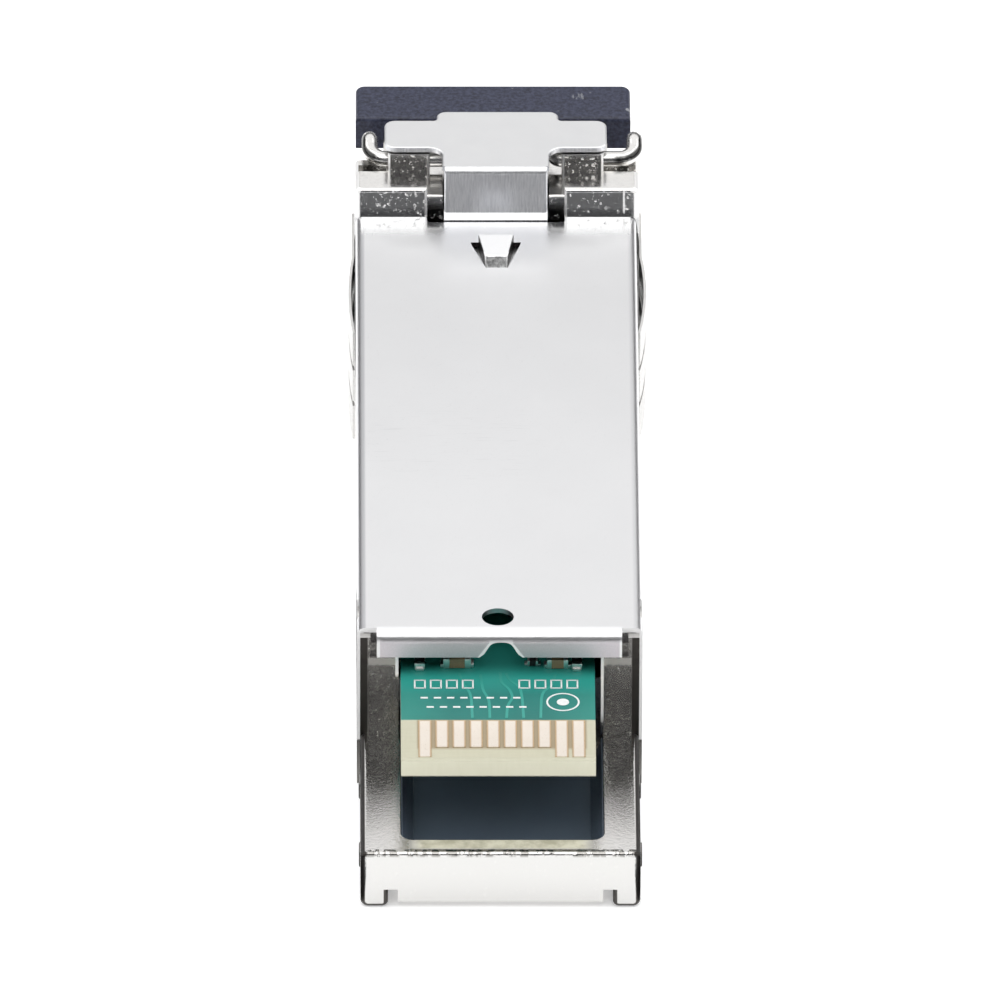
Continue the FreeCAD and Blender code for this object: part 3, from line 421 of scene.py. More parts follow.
def make_plastic():
    """Navy-black moulded plastic with a fine eroded grain and a few scuffs on the outer edges."""
    m = Mat("moulded_black", rough=0.4)
    x, y, z = m.xyz()
    grain = m.noise(11.0, 3, 0.6)
    cloud = m.rng(m.noise(1.7, 4, 0.6), 0.36, 0.64)
    spots = m.voro(1.9)
    pick = m.noise(0.55, 2, 0.5)
    edge = m.rng(y, 8.0, 8.9)
    high = m.rng(z, 0.6, 1.6)
    fleck = m.math("MULTIPLY", m.rng(spots, 0.05, 0.13, 1.0, 0.0), m.rng(pick, 0.56, 0.66))
    fleck = m.math("MULTIPLY", fleck, m.math("MULTIPLY", m.math("MULTIPLY_ADD", edge, 0.6, 0.4), high))
    tooth = m.rng(m.noise(5.2, 3, 0.6), 0.38, 0.66)
    base = m.mixc(tooth, m.mixc(cloud, (0.0070, 0.0085, 0.0220), (0.0170, 0.0200, 0.0430)), (0.0400, 0.0450, 0.0800))
    # a scrape near one corner and a nick on the side edge
    dx = m.math("DIVIDE", m.math("SUBTRACT", x, 4.05), 0.42)
    dy = m.math("DIVIDE", m.math("SUBTRACT", y, 8.15), 0.34)
    spot = m.rng(m.math("ADD", m.math("MULTIPLY", dx, dx), m.math("MULTIPLY", dy, dy)), 0.5, 1.0, 1.0, 0.0)
    lines = m.noise(1.0, 3, 0.6, m.scaled(9.0, 2.0, 1.0, (0, 0, radians(32))))
    scrape = m.math("MULTIPLY", m.math("MULTIPLY", spot, m.rng(lines, 0.50, 0.58)), high)
    ex = m.math("DIVIDE", m.math("SUBTRACT", x, 6.36), 0.13)
    ey = m.math("DIVIDE", m.math("SUBTRACT", y, 6.95), 0.16)
    nick = m.rng(m.math("ADD", m.math("MULTIPLY", ex, ex), m.math("MULTIPLY", ey, ey)), 0.4, 1.0, 1.0, 0.0)
    fleck = m.math("MAXIMUM", fleck, m.math("MAXIMUM", m.math("MULTIPLY", scrape, 0.6), m.math("MULTIPLY", nick, high)))
    m.set("Base Color", m.mixc(m.math("MULTIPLY", fleck, 0.8), base, (0.30, 0.31, 0.33)))
    m.set("Roughness", m.rng(grain, 0.3, 0.7, 0.36, 0.50))
    m.set("Specular IOR Level", 0.45)
    m.set("Normal", m.bump(grain, 6.0, 0.6))
    return m.m


def make_board():
    """Laminate: green mask ahead of the contacts, bare cream laminate around them and on the cut edges."""
    m = Mat("board_laminate")
    x, y, z = m.xyz()
    _, _, nz = m.normal()
    flat = m.rng(m.math("ABSOLUTE", nz), 0.80, 0.95)
    wob = m.math("MULTIPLY", m.math("SUBTRACT", m.noise(2.2, 2, 0.5), 0.5), 0.05)
    ahead = m.rng(m.math("ADD", y, wob), -41.19, -41.13)
    mask = m.math("MULTIPLY", ahead, flat)
    cloud = m.noise(0.5, 3, 0.55)
    weave_a = m.noise(1.0, 2, 0.5, m.scaled(1.2, 6.0, 1.0))
    weave_b = m.noise(1.0, 2, 0.5, m.scaled(6.0, 1.2, 1.0))
    weave = m.math("MULTIPLY", m.math("ADD", weave_a, weave_b), 0.5)
    side = m.rng(m.math("ABSOLUTE", x), 2.2, 4.4)
    green = m.mixc(cloud, (0.008, 0.140, 0.121), (0.013, 0.190, 0.162))
    green = m.mixc(m.math("MULTIPLY", side, 0.55), green, (0.024, 0.250, 0.200))
    # painted light: the mask is lighter just behind the cover's lip, where its shade falls
    green = m.mixc(m.math("MULTIPLY", m.rng(y, -39.0, -37.6), 0.75), green, (0.030, 0.330, 0.275))
    cream = m.mixc(weave, (0.455, 0.44, 0.325), (0.535, 0.52, 0.405))
    cut = m.rng(m.math("ABSOLUTE", nz), 0.5, 0.8, 1.0, 0.0)
    cream = m.mixc(cut, cream, m.mixc(weave, (0.71, 0.70, 0.535), (0.80, 0.785, 0.635)))
    # painted shade: browner, darker laminate in the gaps between the contacts
    across = m.rng(m.math("ABSOLUTE", m.math("SUBTRACT", x, 0.07)), 3.90, 4.02, 1.0, 0.0)
    painted_gap_shade = m.math("MULTIPLY", m.math("MULTIPLY", m.rng(y, -43.80, -43.55), across), flat)
    cream = m.mixc(m.math("MULTIPLY", painted_gap_shade, 0.9), cream, (0.31, 0.245, 0.155))
    m.set("Base Color", m.mixc(mask, cream, green))
    m.set("Roughness", m.rng(mask, 0.0, 1.0, 0.46, 0.40))
    m.set("Specular IOR Level", 0.35)
    h = m.math("ADD", m.math("MULTIPLY", weave, 0.6), m.math("MULTIPLY", mask, 1.0))
    m.set("Normal", m.bump(h, 12.0, 0.6))
    return m.m


def make_gold():
    """Pale hard gold over nickel, with painted brown shade along each contact's rim."""
    m = Mat("contact_gold", metallic=1.0)
    x, y, z = m.xyz()
    n = m.math("DIVIDE", m.math("ADD", x, 3.53), 0.8)
    off = m.math("MULTIPLY", m.math("SUBTRACT", n, m.math("ROUND", n)), 0.8)
    rim = m.rng(m.math("ABSOLUTE", off), 0.205, 0.270)
    front = m.rng(y, -41.36, -41.25)
    rim = m.math("MAXIMUM", rim, front)
    fine = m.noise(10.0, 3, 0.6)
    tone = m.mixc(m.noise(0.9, 3, 0.5), (0.84, 0.755, 0.655), (0.90, 0.83, 0.745))
    m.set("Base Color", m.mixc(m.math("MULTIPLY", rim, 0.92), tone, (0.55, 0.38, 0.21)))
    m.set("Roughness", m.rng(fine, 0.3, 0.7, 0.27, 0.31))
    wipe = m.noise(1.0, 3, 0.6, m.scaled(16.0, 0.4, 1.0))
    m.set("Normal", m.bump(m.math("MULTIPLY_ADD", fine, 0.1, wipe), 0.8, 0.4))
    return m.m


def make_tin():
    return make_steel("tinned_end", (0.74, 0.735, 0.72), (0.86, 0.855, 0.84), (0.26, 0.42))


def make_plated():
    return make_steel("gold_plate", (0.86, 0.62, 0.30), (0.95, 0.74, 0.42), (0.18, 0.30))


def make_epoxy():
    m = Mat("chip_moulding", rough=0.5)
    grain = m.noise(14.0, 3, 0.6)
    m.set("Base Color", m.mixc(m.noise(1.2, 3, 0.5), (0.014, 0.014, 0.015), (0.030, 0.030, 0.032)))
    m.set("Roughness", m.rng(grain, 0.3, 0.7, 0.42, 0.58))
    m.set("Normal", m.bump(grain, 5.0, 0.7))
    return m.m


def make_ceramic(name, a, b):
    m = Mat(name, rough=0.45)
    grain = m.noise(10.0, 4, 0.6)
    m.set("Base Color", m.mixc(grain, a, b))
    m.set("Roughness", m.rng(grain, 0.3, 0.7, 0.36, 0.52))
    m.set("Normal", m.bump(grain, 4.0, 0.6))
    return m.m


def make_film():
    """Dark glossy insulating film."""
    m = Mat("dark_film", rough=0.15)
    wave = m.noise(0.45, 2, 0.5)
    fine = m.noise(9.0, 3, 0.6)
    m.set("Base Color", m.mixc(wave, (0.0640, 0.0860, 0.1180), (0.0840, 0.1080, 0.1380)))
    m.set("Roughness", m.rng(fine, 0.3, 0.7, 0.28, 0.40))
    m.set("Normal", m.bump(m.math("ADD", wave, m.math("MULTIPLY", fine, 0.04)), 40.0, 0.35))
    return m.m


def make_flex():
    """Amber film with copper tracks showing through."""
    m = Mat("amber_flex", rough=0.35)
    x, y, z = m.xyz()
    t = m.math("ADD", x, m.math("MULTIPLY", z, 0.6))
    tr = m.math("ABSOLUTE", m.math("SUBTRACT", m.math("FRACT", m.math("MULTIPLY", t, 1.25)), 0.5))
    lane = m.rng(tr, 0.20, 0.26)
    base = m.mixc(m.noise(0.9, 3, 0.5), (0.42, 0.17, 0.030), (0.52, 0.235, 0.050))
    m.set("Base Color", m.mixc(m.math("MULTIPLY", lane, 0.5), base, (0.60, 0.36, 0.14)))
    m.set("Roughness", m.rng(m.noise(8.0, 3, 0.5), 0.3, 0.7, 0.28, 0.42))
    m.set("Normal", m.bump(lane, 8.0, 0.5))
    return m.m


def make_rubber():
    m = Mat("gap_pad", rough=0.75)
    g = m.noise(7.0, 4, 0.6)
    m.set("Base Color", m.mixc(g, (0.30, 0.33, 0.36), (0.40, 0.43, 0.45)))
    m.set("Roughness", m.rng(g, 0.3, 0.7, 0.66, 0.84))
    m.set("Normal", m.bump(g, 12.0, 0.7))
    return m.m


def make_zirconia():
    m = Mat("zirconia_white", rough=0.2)
    g = m.noise(6.0, 3, 0.5)
    m.set("Base Color", m.mixc(g, (0.80, 0.79, 0.76), (0.88, 0.87, 0.85)))
    m.set("Roughness", m.rng(g, 0.3, 0.7, 0.14, 0.24))
    m.set("Normal", m.bump(g, 1.0, 0.5))
    return m.m


def make_glass():
    m = Mat("filter_glass_coated", rough=0.06)
    g = m.noise(1.6, 2, 0.5)
    m.set("Base Color", m.mixc(g, (0.72, 0.84, 0.80), (0.86, 0.80, 0.88)))
    m.set("Roughness", m.rng(m.noise(8, 2, 0.5), 0.3, 0.7, 0.04, 0.10))
    m.set("Transmission Weight", 0.85)
    m.set("IOR", 1.5)
    return m.m


def make_label():
    """Blank matt polyester label, with a fine paper-like tooth and a slightly yellowed rim."""
    m = Mat("label_blank", rough=0.55)
    x, y, _ = m.xyz()
    g = m.noise(9.0, 4, 0.6)
    rim = m.math("MAXIMUM", m.rng(m.math("ABSOLUTE", x), 4.05, 4.3),
                 m.math("MAXIMUM", m.rng(y, -3.8, -3.5), m.rng(y, -44.5, -44.2, 1.0, 0.0)))
    c = m.mixc(m.noise(0.3, 3, 0.5), (0.74, 0.74, 0.735), (0.80, 0.80, 0.795))
    m.set("Base Color", m.mixc(m.math("MULTIPLY", rim, 0.5), c, (0.62, 0.60, 0.55)))
    m.set("Roughness", m.rng(g, 0.3, 0.7, 0.48, 0.62))
    m.set("Normal", m.bump(g, 4.0, 0.6))
    return m.m


CAST, SHEET, LATCH, WIRE = make_cast(), make_sheet(), make_latch(), make_wire()
STEEL, SPRING, PLASTIC, BOARD = make_steel(), make_spring(), make_plastic(), make_board()
DARKPIN = make_steel("oxide_pin", (0.030, 0.030, 0.032), (0.055, 0.054, 0.054), (0.40, 0.55))
GOLD, TIN, PLATED, EPOXY, FILM = make_gold(), make_tin(), make_plated(), make_epoxy(), make_film()
TAN = make_ceramic("ceramic_tan", (0.36, 0.235, 0.13), (0.47, 0.325, 0.20))
FERRITE = make_ceramic("ferrite_grey", (0.045, 0.044, 0.046), (0.085, 0.083, 0.085))
FLEX, RUBBER, ZIRC, GLASS, LABEL = make_flex(), make_rubber(), make_zirconia(), make_glass(), make_label()


# ---------------------------------------------------------------------------
# Pieces
# ---------------------------------------------------------------------------
def body_for(node):
    return NODE[node].parent.name.split(":")[1]


def add_object(name, bm, mats, body, smooth_deg=35.0, weighted=True):
    bm.normal_update()
    for f in bm.faces:
        f.smooth = True
    lim = radians(smooth_deg)
    for e in bm.edges:
        if len(e.link_faces) == 2:
            e.smooth = e.calc_face_angle(0.0) < lim
    me = bpy.data.meshes.new(name)
    bm.to_mesh(me)
    bm.free()
    for m in mats if isinstance(mats, (list, tuple)) else [mats]:
        me.materials.append(m)
    o = bpy.data.objects.new(name, me)
    SC.collection.objects.link(o)
    if weighted:
        w = o.modifiers.new("flat_faces", "WEIGHTED_NORMAL")
        w.keep_sharp = True
        w.weight = 80
    if body:
        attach(o, body)
    return o


def softened(node, name, mat, width, pick=None, segs=2, ang=38.0, slot=None):
    """The node's own shape with its sharp edges broken by width mm."""
    src = NODE[node]
    bm = bmesh.new()
    bm.from_mesh(src.data)
    bmesh.ops.remove_doubles(bm, verts=bm.verts, dist=2e-7)
    bmesh.ops.dissolve_limit(bm, angle_limit=radians(0.4), verts=bm.verts, edges=bm.edges,
                             delimit={"NORMAL"})
    bm.normal_update()
    lim = radians(ang)
    es = []
    for e in bm.edges:
        if len(e.link_faces) == 2 and e.calc_face_angle(0.0) > lim:
            a, b = [(v.co / MM - Vector((0, Y0, Z0))) for v in e.verts]
            if pick is None or pick(a, b):
                es.append(e)
    if es and width:
        bmesh.ops.bevel(bm, geom=es, offset=width * MM, offset_type="OFFSET", segments=segs, profile=0.5,
                        affect="EDGES", clamp_overlap=False, miter_outer="SHARP", miter_inner="SHARP")
    bmesh.ops.remove_doubles(bm, verts=bm.verts, dist=2e-7)
    o = add_object(name, bm, mat, body_for(node))
    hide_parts(node)
    return o


def paint(node, mat):
    o = NODE[node]
    for s in o.material_slots:
        s.material = mat


for n, mt in {
    "die_cast_base": CAST, "bottom_cover": SHEET, "latch_rocker": LATCH, "rocker_pin": DARKPIN, "return_spring": SPRING,
    "bail_wire": WIRE, "port_insert": PLASTIC, "shield_spring": SPRING, "circuit_board": BOARD, "contact_pads": GOLD,
    "laser_driver_chip": EPOXY, "limiting_amplifier_chip": EPOXY, "microcontroller_chip": EPOXY, "memory_chip": EPOXY,
    "chip_capacitors": TAN, "chip_resistors": EPOXY, "power_inductors": FERRITE, "thermal_pad": RUBBER,
    "optical_barrel": STEEL, "split_sleeve": ZIRC, "fibre_stub": ZIRC, "optics_housing": STEEL,
    "splitter_filter": GLASS, "laser_can": PLATED, "photodiode_can": PLATED, "laser_pins": PLATED,
    "photodiode_pins": PLATED, "laser_flex": FLEX, "photodiode_flex": FLEX, "optics_clamp": SPRING,
    "insulating_film": FILM, "blank_label": LABEL,
}.items():
    paint(n, mt)

# ---------------------------------------------------------------------------
# Board fittings, drawn finer than the construction
# ---------------------------------------------------------------------------
PCB_TOP, PCB_BOT, R0 = -2.25, -3.25, -37.1
INK = make_ceramic("board_ink", (0.66, 0.68, 0.67), (0.80, 0.81, 0.80))
TRACK = make_ceramic("covered_track", (0.023, 0.262, 0.216), (0.035, 0.318, 0.262))


def soft_box(bm, x0, x1, y0, y1, z0, z1, brk, mat=0, segs=2):
    """A box with broken edges, in module mm."""
    r = bmesh.ops.create_cube(bm, size=1.0)
    vs = r["verts"]
    for v in vs:
        v.co = L(x0 if v.co.x < 0 else x1, y0 if v.co.y < 0 else y1, z0 if v.co.z < 0 else z1)
    fs = {f for v in vs for f in v.link_faces}
    for f in fs:
        f.material_index = mat
    if brk:
        es = list({e for v in vs for e in v.link_edges})
        out = bmesh.ops.bevel(bm, geom=es, offset=brk * MM, offset_type="OFFSET", segments=segs, profile=0.6, affect="EDGES")
        for f in out["faces"]:
            f.material_index = mat


def two_ended(bm, x, y, lx, ly, h, top=True):
    """Chip part: a body between two tinned ends, each with a low solder toe."""
    z0, z1 = (PCB_TOP, PCB_TOP + h) if top else (PCB_BOT - h, PCB_BOT)
    lo, hi = (z0, z0 + 0.42 * h) if top else (z1 - 0.42 * h, z1)
    t = 0.015
    for s in (-1, 1):
        if lx >= ly:
            a, b = sorted((x + s * lx / 2, x + s * lx * 0.27))
            soft_box(bm, a, b, y - ly / 2, y + ly / 2, z0, z1, 0.045, 1)
            a, b = sorted((x + s * (lx / 2 - 0.03), x + s * (lx / 2 + 0.14)))
            soft_box(bm, a, b, y - ly / 2 + 0.04, y + ly / 2 - 0.04, lo, hi, 0.07, 1)
        else:
            a, b = sorted((y + s * ly / 2, y + s * ly * 0.27))
            soft_box(bm, x - lx / 2, x + lx / 2, a, b, z0, z1, 0.045, 1)
            a, b = sorted((y + s * (ly / 2 - 0.03), y + s * (ly / 2 + 0.14)))
            soft_box(bm, x - lx / 2 + 0.04, x + lx / 2 - 0.04, a, b, lo, hi, 0.07, 1)
    if lx >= ly:
        soft_box(bm, x - lx * 0.30, x + lx * 0.30, y - ly / 2 + t, y + ly / 2 - t, z0 + t, z1 - t, 0.03, 0)
    else:
        soft_box(bm, x - lx / 2 + t, x + lx / 2 - t, y - ly * 0.30, y + ly * 0.30, z0 + t, z1 - t, 0.03, 0)


def fitted(node, name, rows, body_mat):
    bm = bmesh.new()
    for row in rows:
        two_ended(bm, *row)
    o = add_object(name, bm, [body_mat, TIN], body_for(node))
    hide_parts(node)
    return o


fitted("chip_capacitors", "chip_capacitors_fitted", [
    (-2.0, R0 + 0.72, 1.30, 0.62, 0.52), (2.72, R0 + 0.62, 1.0, 0.5, 0.5), (-3.2, -19.0, 1.0, 0.5, 0.5),
    (-3.2, -20.2, 1.0, 0.5, 0.5), (-3.2, -21.4, 1.0, 0.5, 0.5), (3.6, -23.4, 0.5, 1.0, 0.5), (2.6, -23.4, 0.5, 1.0, 0.5),
    (1.2, -26.2, 1.0, 0.5, 0.5), (1.2, -27.4, 1.0, 0.5, 0.5), (-2.6, -33.2, 1.6, 0.8, 0.8), (-2.6, -30.6, 1.6, 0.8, 0.8),
    (3.4, -20.4, 1.0, 0.5, 0.5, False), (3.4, -27.9, 1.0, 0.5, 0.5, False)], TAN)
fitted("chip_resistors", "chip_resistors_fitted", [
    (-3.75, R0 + 0.75, 0.5, 0.9, 0.35), (3.62, R0 + 0.72, 0.5, 0.9, 0.35), (1.55, R0 + 0.80, 0.5, 0.4, 0.3),
    (-3.2, -22.8, 1.0, 0.5, 0.35), (-3.2, -24.0, 1.0, 0.5, 0.35), (0.2, -23.6, 0.5, 1.0, 0.35),
    (3.4, -29.0, 1.0, 0.5, 0.35, False), (-3.0, -28.6, 1.0, 0.5, 0.35, False)], EPOXY)
fitted("power_inductors", "power_inductors_fitted", [(3.2, -26.6, 1.25, 2.0, 1.1), (3.2, -29.0, 1.25, 2.0, 1.1)], FERRITE)


def flat_chip(node, name, x, y, lx, ly, h, n, top=True):
    """Leadless package: moulded body with a corner mark, tinned lands along its four sides."""
    bm = bmesh.new()
    z0, z1 = (PCB_TOP, PCB_TOP + h) if top else (PCB_BOT - h, PCB_BOT)
    soft_box(bm, x - lx / 2, x + lx / 2, y - ly / 2, y + ly / 2, z0 + (0.02 if top else 0), z1 - (0 if top else 0.02), 0.04, 0)
    zl = (z0, z0 + 0.16) if top else (z1 - 0.16, z1)
    for i in range(n):
        for s in (-1, 1):
            px = x + (i - (n - 1) / 2) * lx * 0.8 / n
            a, b = sorted((y + s * (ly / 2 - 0.05), y + s * (ly / 2 + 0.05)))
            soft_box(bm, px - 0.11, px + 0.11, a, b, zl[0], zl[1], 0.02, 1, 1)
            py = y + (i - (n - 1) / 2) * ly * 0.8 / n
            a, b = sorted((x + s * (lx / 2 - 0.05), x + s * (lx / 2 + 0.05)))
            soft_box(bm, a, b, py - 0.11, py + 0.11, zl[0], zl[1], 0.02, 1, 1)
    ring = bmesh.ops.create_cone(bm, cap_ends=True, segments=20, radius1=0.16 * MM, radius2=0.16 * MM, depth=0.01 * MM)
    zc = z1 + 0.002 if top else z0 - 0.002
    for v in ring["verts"]:
        v.co = v.co + L(x - lx / 2 + 0.42, y - ly / 2 + 0.42, zc)
    for f in {f for v in ring["verts"] for f in v.link_faces}:
        f.material_index = 2
    o = add_object(name, bm, [EPOXY, TIN, INK], body_for(node))
    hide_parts(node)


flat_chip("laser_driver_chip", "laser_driver_package", 0.6, -20.0, 4.0, 4.0, 0.85, 6)
flat_chip("limiting_amplifier_chip", "limiting_amplifier_package", -1.4, -27.0, 3.0, 3.0, 0.85, 4)
flat_chip("microcontroller_chip", "microcontroller_package", 0.3, -24.0, 5.0, 5.0, 0.9, 8, False)
flat_chip("memory_chip", "memory_package", 1.9, -31.2, 3.0, 2.0, 0.75, 3)


def ribbon(bm, pts, w, z0, z1):
    """A flat band of width w along pts (module mm), with mitred corners."""
    n = len(pts)
    rails = []
    for i, (px, py) in enumerate(pts):
        a = pts[max(i - 1, 0)]
        b = pts[min(i + 1, n - 1)]
        dx, dy = b[0] - a[0], b[1] - a[1]
        k = hypot(dx, dy)
        ox, oy = -dy / k * w / 2, dx / k * w / 2
        rails.append([bm.verts.new(L(px + sx * ox, py + sx * oy, zz)) for sx, zz in ((1, z0), (1, z1), (-1, z1), (-1, z0))])
    for a, b in zip(rails, rails[1:]):
        for i in range(4):
            j = (i + 1) % 4
            bm.faces.new((a[i], a[j], b[j], b[i]))
    bm.faces.new(rails[0][::-1])
    bm.faces.new(rails[-1])


# copper tracks under the mask
bm = bmesh.new()
for pts in ([(0.02, -37.0), (0.05, -37.9), (0.45, -38.5), (0.62, -39.2), (0.35, -39.9), (0.30, -41.0)],
            [(0.30, -37.1), (0.45, -37.7), (0.95, -38.3), (1.05, -39.3), (1.10, -41.0)],
            [(-1.9, -37.1), (-1.7, -38.1), (-1.35, -38.9), (-1.30, -41.0)],
            [(-0.9, -37.2), (-0.8, -38.6), (-0.50, -39.4), (-0.48, -41.0)],
            [(2.6, -37.2), (2.45, -38.2), (1.95, -38.8), (1.90, -41.0)]):
    dense = []
    for (ax, ay), (bx, by) in zip(pts, pts[1:]):
        for k in range(6):
            t = k / 6.0
            dense.append((ax + (bx - ax) * t, ay + (by - ay) * t))
    dense.append(pts[-1])
    for _ in range(4):
        dense = [dense[0]] + [((a[0] + 2 * b[0] + c[0]) / 4, (a[1] + 2 * b[1] + c[1]) / 4)
                              for a, b, c in zip(dense, dense[1:], dense[2:])] + [dense[-1]]
    ribbon(bm, dense, 0.13, PCB_TOP - 0.01, PCB_TOP + 0.012)
add_object("board_tracks", bm, TRACK, body_for("circuit_board"))

# plain printed marks: part outlines, a dashed keep-out line and a ringed target
bm = bmesh.new()
zi = (PCB_TOP - 0.005, PCB_TOP + 0.016)
for cx in (-3.75, -3.0, -2.25, -1.5, 1.15, 1.9, 2.65, 3.4):
    for pts in ([(cx - 0.24, -37.72), (cx + 0.24, -37.72)], [(cx - 0.24, -38.40), (cx + 0.24, -38.40)],
                [(cx - 0.24, -37.68), (cx - 0.24, -38.44)], [(cx + 0.24, -37.68), (cx + 0.24, -38.44)]):
        ribbon(bm, pts, 0.075, *zi)
for cy, shift in ((-39.25, 0.0), (-40.05, 0.28)):
    for k in range(8):
        cx = -3.55 + k * 0.62 + shift
        ribbon(bm, [(cx - 0.17, cy), (cx + 0.17, cy)], 0.13, *zi)
ring = [(2.95 + 0.74 * cos(2 * pi * k / 48), -39.62 + 0.74 * sin(2 * pi * k / 48)) for k in range(49)]
ribbon(bm, ring, 0.085, *zi)
dot = [(2.95 + 0.15 * cos(2 * pi * k / 24), -39.62 + 0.15 * sin(2 * pi * k / 24)) for k in range(25)]
ribbon(bm, dot, 0.28, *zi)
add_object("board_marks", bm, INK, body_for("circuit_board"))

# insulating film: a shallow pressed tray with sloping sides and round rear corners
bm = bmesh.new()


def outline(x0, x1, yr, r, z):
    pts = [(x0, -37.3)]
    pts += [(x0 + r - r * cos(a), yr + r - r * sin(a)) for a in [pi / 2 * k / 8 for k in range(9)]]
    pts += [(x1 - r + r * sin(a), yr + r - r * cos(a)) for a in [pi / 2 * k / 8 for k in range(9)]]
    pts += [(x1, -37.3)]
    return [bm.verts.new(L(px, py, z)) for px, py in pts]


rims = [outline(-4.63, 4.83, -46.30, 0.60, -5.72), outline(-4.40, 4.60, -46.10, 0.52, -6.40),
        outline(-4.22, 4.42, -45.98, 0.48, -7.20), outline(-4.08, 4.28, -45.86, 0.44, -7.47)]
for a, b in zip(rims, rims[1:]):
    for i in range(len(a) - 1):
        bm.faces.new((a[i], a[i + 1], b[i + 1], b[i]))
bm.faces.new(rims[-1])
bmesh.ops.recalc_face_normals(bm, faces=bm.faces)
bmesh.ops.solidify(bm, geom=bm.faces, thickness=0.05 * MM)
o = add_object("insulating_film_tray", bm, FILM, body_for("insulating_film"), smooth_deg=50.0)
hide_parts("insulating_film")

# leaf spring: its flat end lies on the casting and its tip sits at the rocker's tongue
bm = bmesh.new()
spine = [(-1.20, -2.33), (-1.50, -2.33), (-1.80, -2.33), (-1.92, -2.31), (-2.02, -2.27)]
spine += [(-2.02 - 2.60 * k / 20, -2.27 + 1.125 * k / 20) for k in range(1, 21)]
spine += [(-4.72, -1.112), (-4.80, -1.10), (-4.92, -1.105), (-5.05, -1.13)]
rows = []
for i, (py, pz) in enumerate(spine):
    a, b = spine[max(i - 1, 0)], spine[min(i + 1, len(spine) - 1)]
    n = hypot(b[0] - a[0], b[1] - a[1])
    oy, oz = 0.12 * (b[1] - a[1]) / n, -0.12 * (b[0] - a[0]) / n
    half = 0.9 if i < len(spine) - 2 else (0.82 if i == len(spine) - 2 else 0.62)
    rows.append([bm.verts.new(L(sx * half, py + t * -oy, pz + t * -oz)) for t, sx in ((0, -1), (0, 1), (1, 1), (1, -1))])
for a, b in zip(rows, rows[1:]):
    for k in range(4):
        bm.faces.new((a[k], a[(k + 1) % 4], b[(k + 1) % 4], b[k]))
bm.faces.new(rows[0])
bm.faces.new(rows[-1])
bmesh.ops.recalc_face_normals(bm, faces=bm.faces)
o = add_object("return_spring_leaf", bm, SPRING, None, smooth_deg=40.0, weighted=False)
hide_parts("return_spring")
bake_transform(o)

# ---------------------------------------------------------------------------
# Stage, light and camera
# ---------------------------------------------------------------------------
def plane(name, size, loc, rot, mat):
    bm = bmesh.new()
    bmesh.ops.create_grid(bm, x_segments=1, y_segments=1, size=0.5)
    me = bpy.data.meshes.new(name)
    bm.to_mesh(me)
    bm.free()
    me.materials.append(mat)
    o = bpy.data.objects.new(name, me)
    o.scale = (size[0], size[1], 1.0)
    o.location = loc
    o.rotation_euler = rot
    SC.collection.objects.link(o)
    return o


floor_mat = Mat("floor_pale", color=(0.82, 0.82, 0.82), rough=0.9)
floor_mat.set("Specular IOR Level", 0.0)
floor_mat.set("Emission Color", (1.0, 1.0, 1.0))
floor_mat.set("Emission Strength", 0.35)
plane("floor", (16, 16), (0, 0, 0), (0, 0, 0), floor_mat.m)

card = Mat("dark_card", color=(0.03, 0.03, 0.032), rough=0.9)
card.set("Specular IOR Level", 0.0)
for sx in (-1, 1):
    c = plane("side_card_%s" % ("left" if sx < 0 else "right"), (0.0091, 0.031), (sx * 0.01145, -0.0165, 0.00006), (0, 0, 0), card.m)
    c.visible_camera = False
    c.visible_diffuse = False
    c.visible_shadow = False

SC.world = bpy.data.worlds.new("studio")
SC.world.use_nodes = True
wn = SC.world.node_tree
bg = wn.nodes["Background"]
bg.inputs[0].default_value = (0.075, 0.075, 0.08, 1.0)
bg.inputs[1].default_value = 1.0
seen = wn.nodes.new("ShaderNodeBackground")
seen.inputs[0].default_value = (1.0, 1.0, 1.0, 1.0)
lp = wn.nodes.new("ShaderNodeLightPath")
mx = wn.nodes.new("ShaderNodeMixShader")
wn.links.new(lp.outputs["Is Camera Ray"], mx.inputs[0])
wn.links.new(bg.outputs[0], mx.inputs[1])
wn.links.new(seen.outputs[0], mx.inputs[2])
wn.links.new(mx.outputs[0], wn.nodes["World Output"].inputs[0])


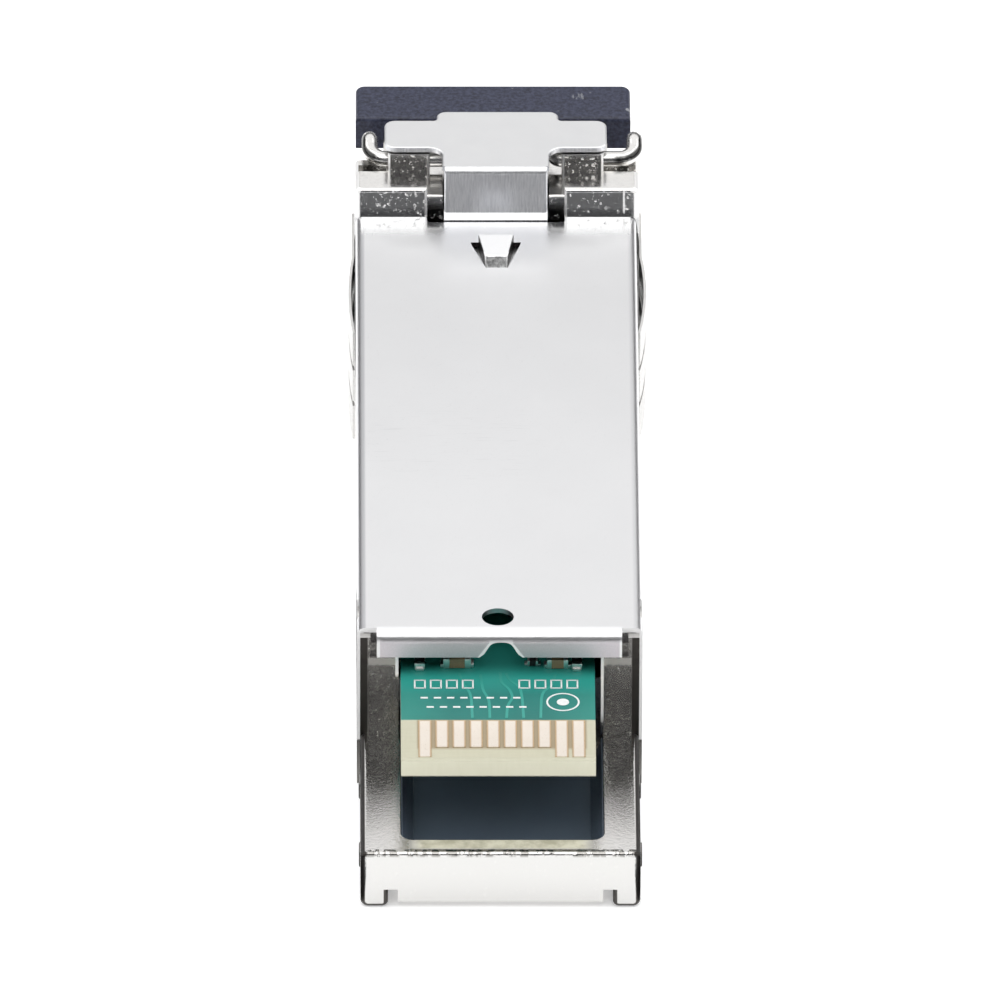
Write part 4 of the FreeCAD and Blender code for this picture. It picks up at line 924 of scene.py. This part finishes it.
def area(name, loc, aim, size, power, color=(1, 1, 1)):
    d = bpy.data.lights.new(name, "AREA")
    d.shape = "RECTANGLE"
    d.size, d.size_y = size
    d.energy = power
    d.color = color
    o = bpy.data.objects.new(name, d)
    o.location = loc
    o.rotation_mode = "QUATERNION"
    o.rotation_quaternion = (Vector(aim) - Vector(loc)).to_track_quat("-Z", "Y")
    o.visible_camera = False
    SC.collection.objects.link(o)
    return o


def power(radiance, size):
    return radiance * pi * size[0] * size[1]


BACK, TOP, SIDE = (2.4, 1.21), (1.4, 1.34), (1.4, 0.9)
area("softbox_back", (0, 0.80, 1.02), (0, 0, 0), BACK, power(1.10, BACK))
area("softbox_top", (0, -0.47, 1.10), (0, -0.47, 0), TOP, power(2.2, TOP))
area("softbox_left", (-1.05, 0, 0.78), (0, 0, 0), SIDE, power(1.8, SIDE))
area("softbox_right", (1.05, 0, 0.78), (0, 0, 0), SIDE, power(1.8, SIDE))

SC.view_settings.view_transform = "Standard"
SC.view_settings.look = "None"
SC.view_settings.exposure = 0.0
SC.view_settings.gamma = 1.0

EL, AZ, ROLL, F_PX, DIST = radians(32.0714), radians(0.43295), radians(0.2451), 35839.0, 1.6953
fwd = Vector((sin(AZ) * cos(EL), cos(AZ) * cos(EL), -sin(EL)))
right = Vector((cos(AZ), -sin(AZ), 0.0))
up = right.cross(fwd)
eye = L(0, -19.25, 0) - fwd * DIST
aim = (fwd + right * (2.415 / F_PX) - up * (69.32 / F_PX)).normalized()
r2 = (right * cos(ROLL) + up * sin(ROLL))
r2 = (r2 - aim * r2.dot(aim)).normalized()
u2 = r2.cross(aim)
cam_d = bpy.data.cameras.new("camera")
cam_d.sensor_width = 36.0
cam_d.lens = F_PX / 1000.0 * 36.0
cam_d.clip_start, cam_d.clip_end = 0.05, 60.0
cam = bpy.data.objects.new("camera", cam_d)
cam.rotation_mode = "QUATERNION"
cam.matrix_world = Matrix(((r2.x, u2.x, -aim.x, eye.x), (r2.y, u2.y, -aim.y, eye.y),
                           (r2.z, u2.z, -aim.z, eye.z), (0, 0, 0, 1)))
SC.collection.objects.link(cam)
SC.camera = cam
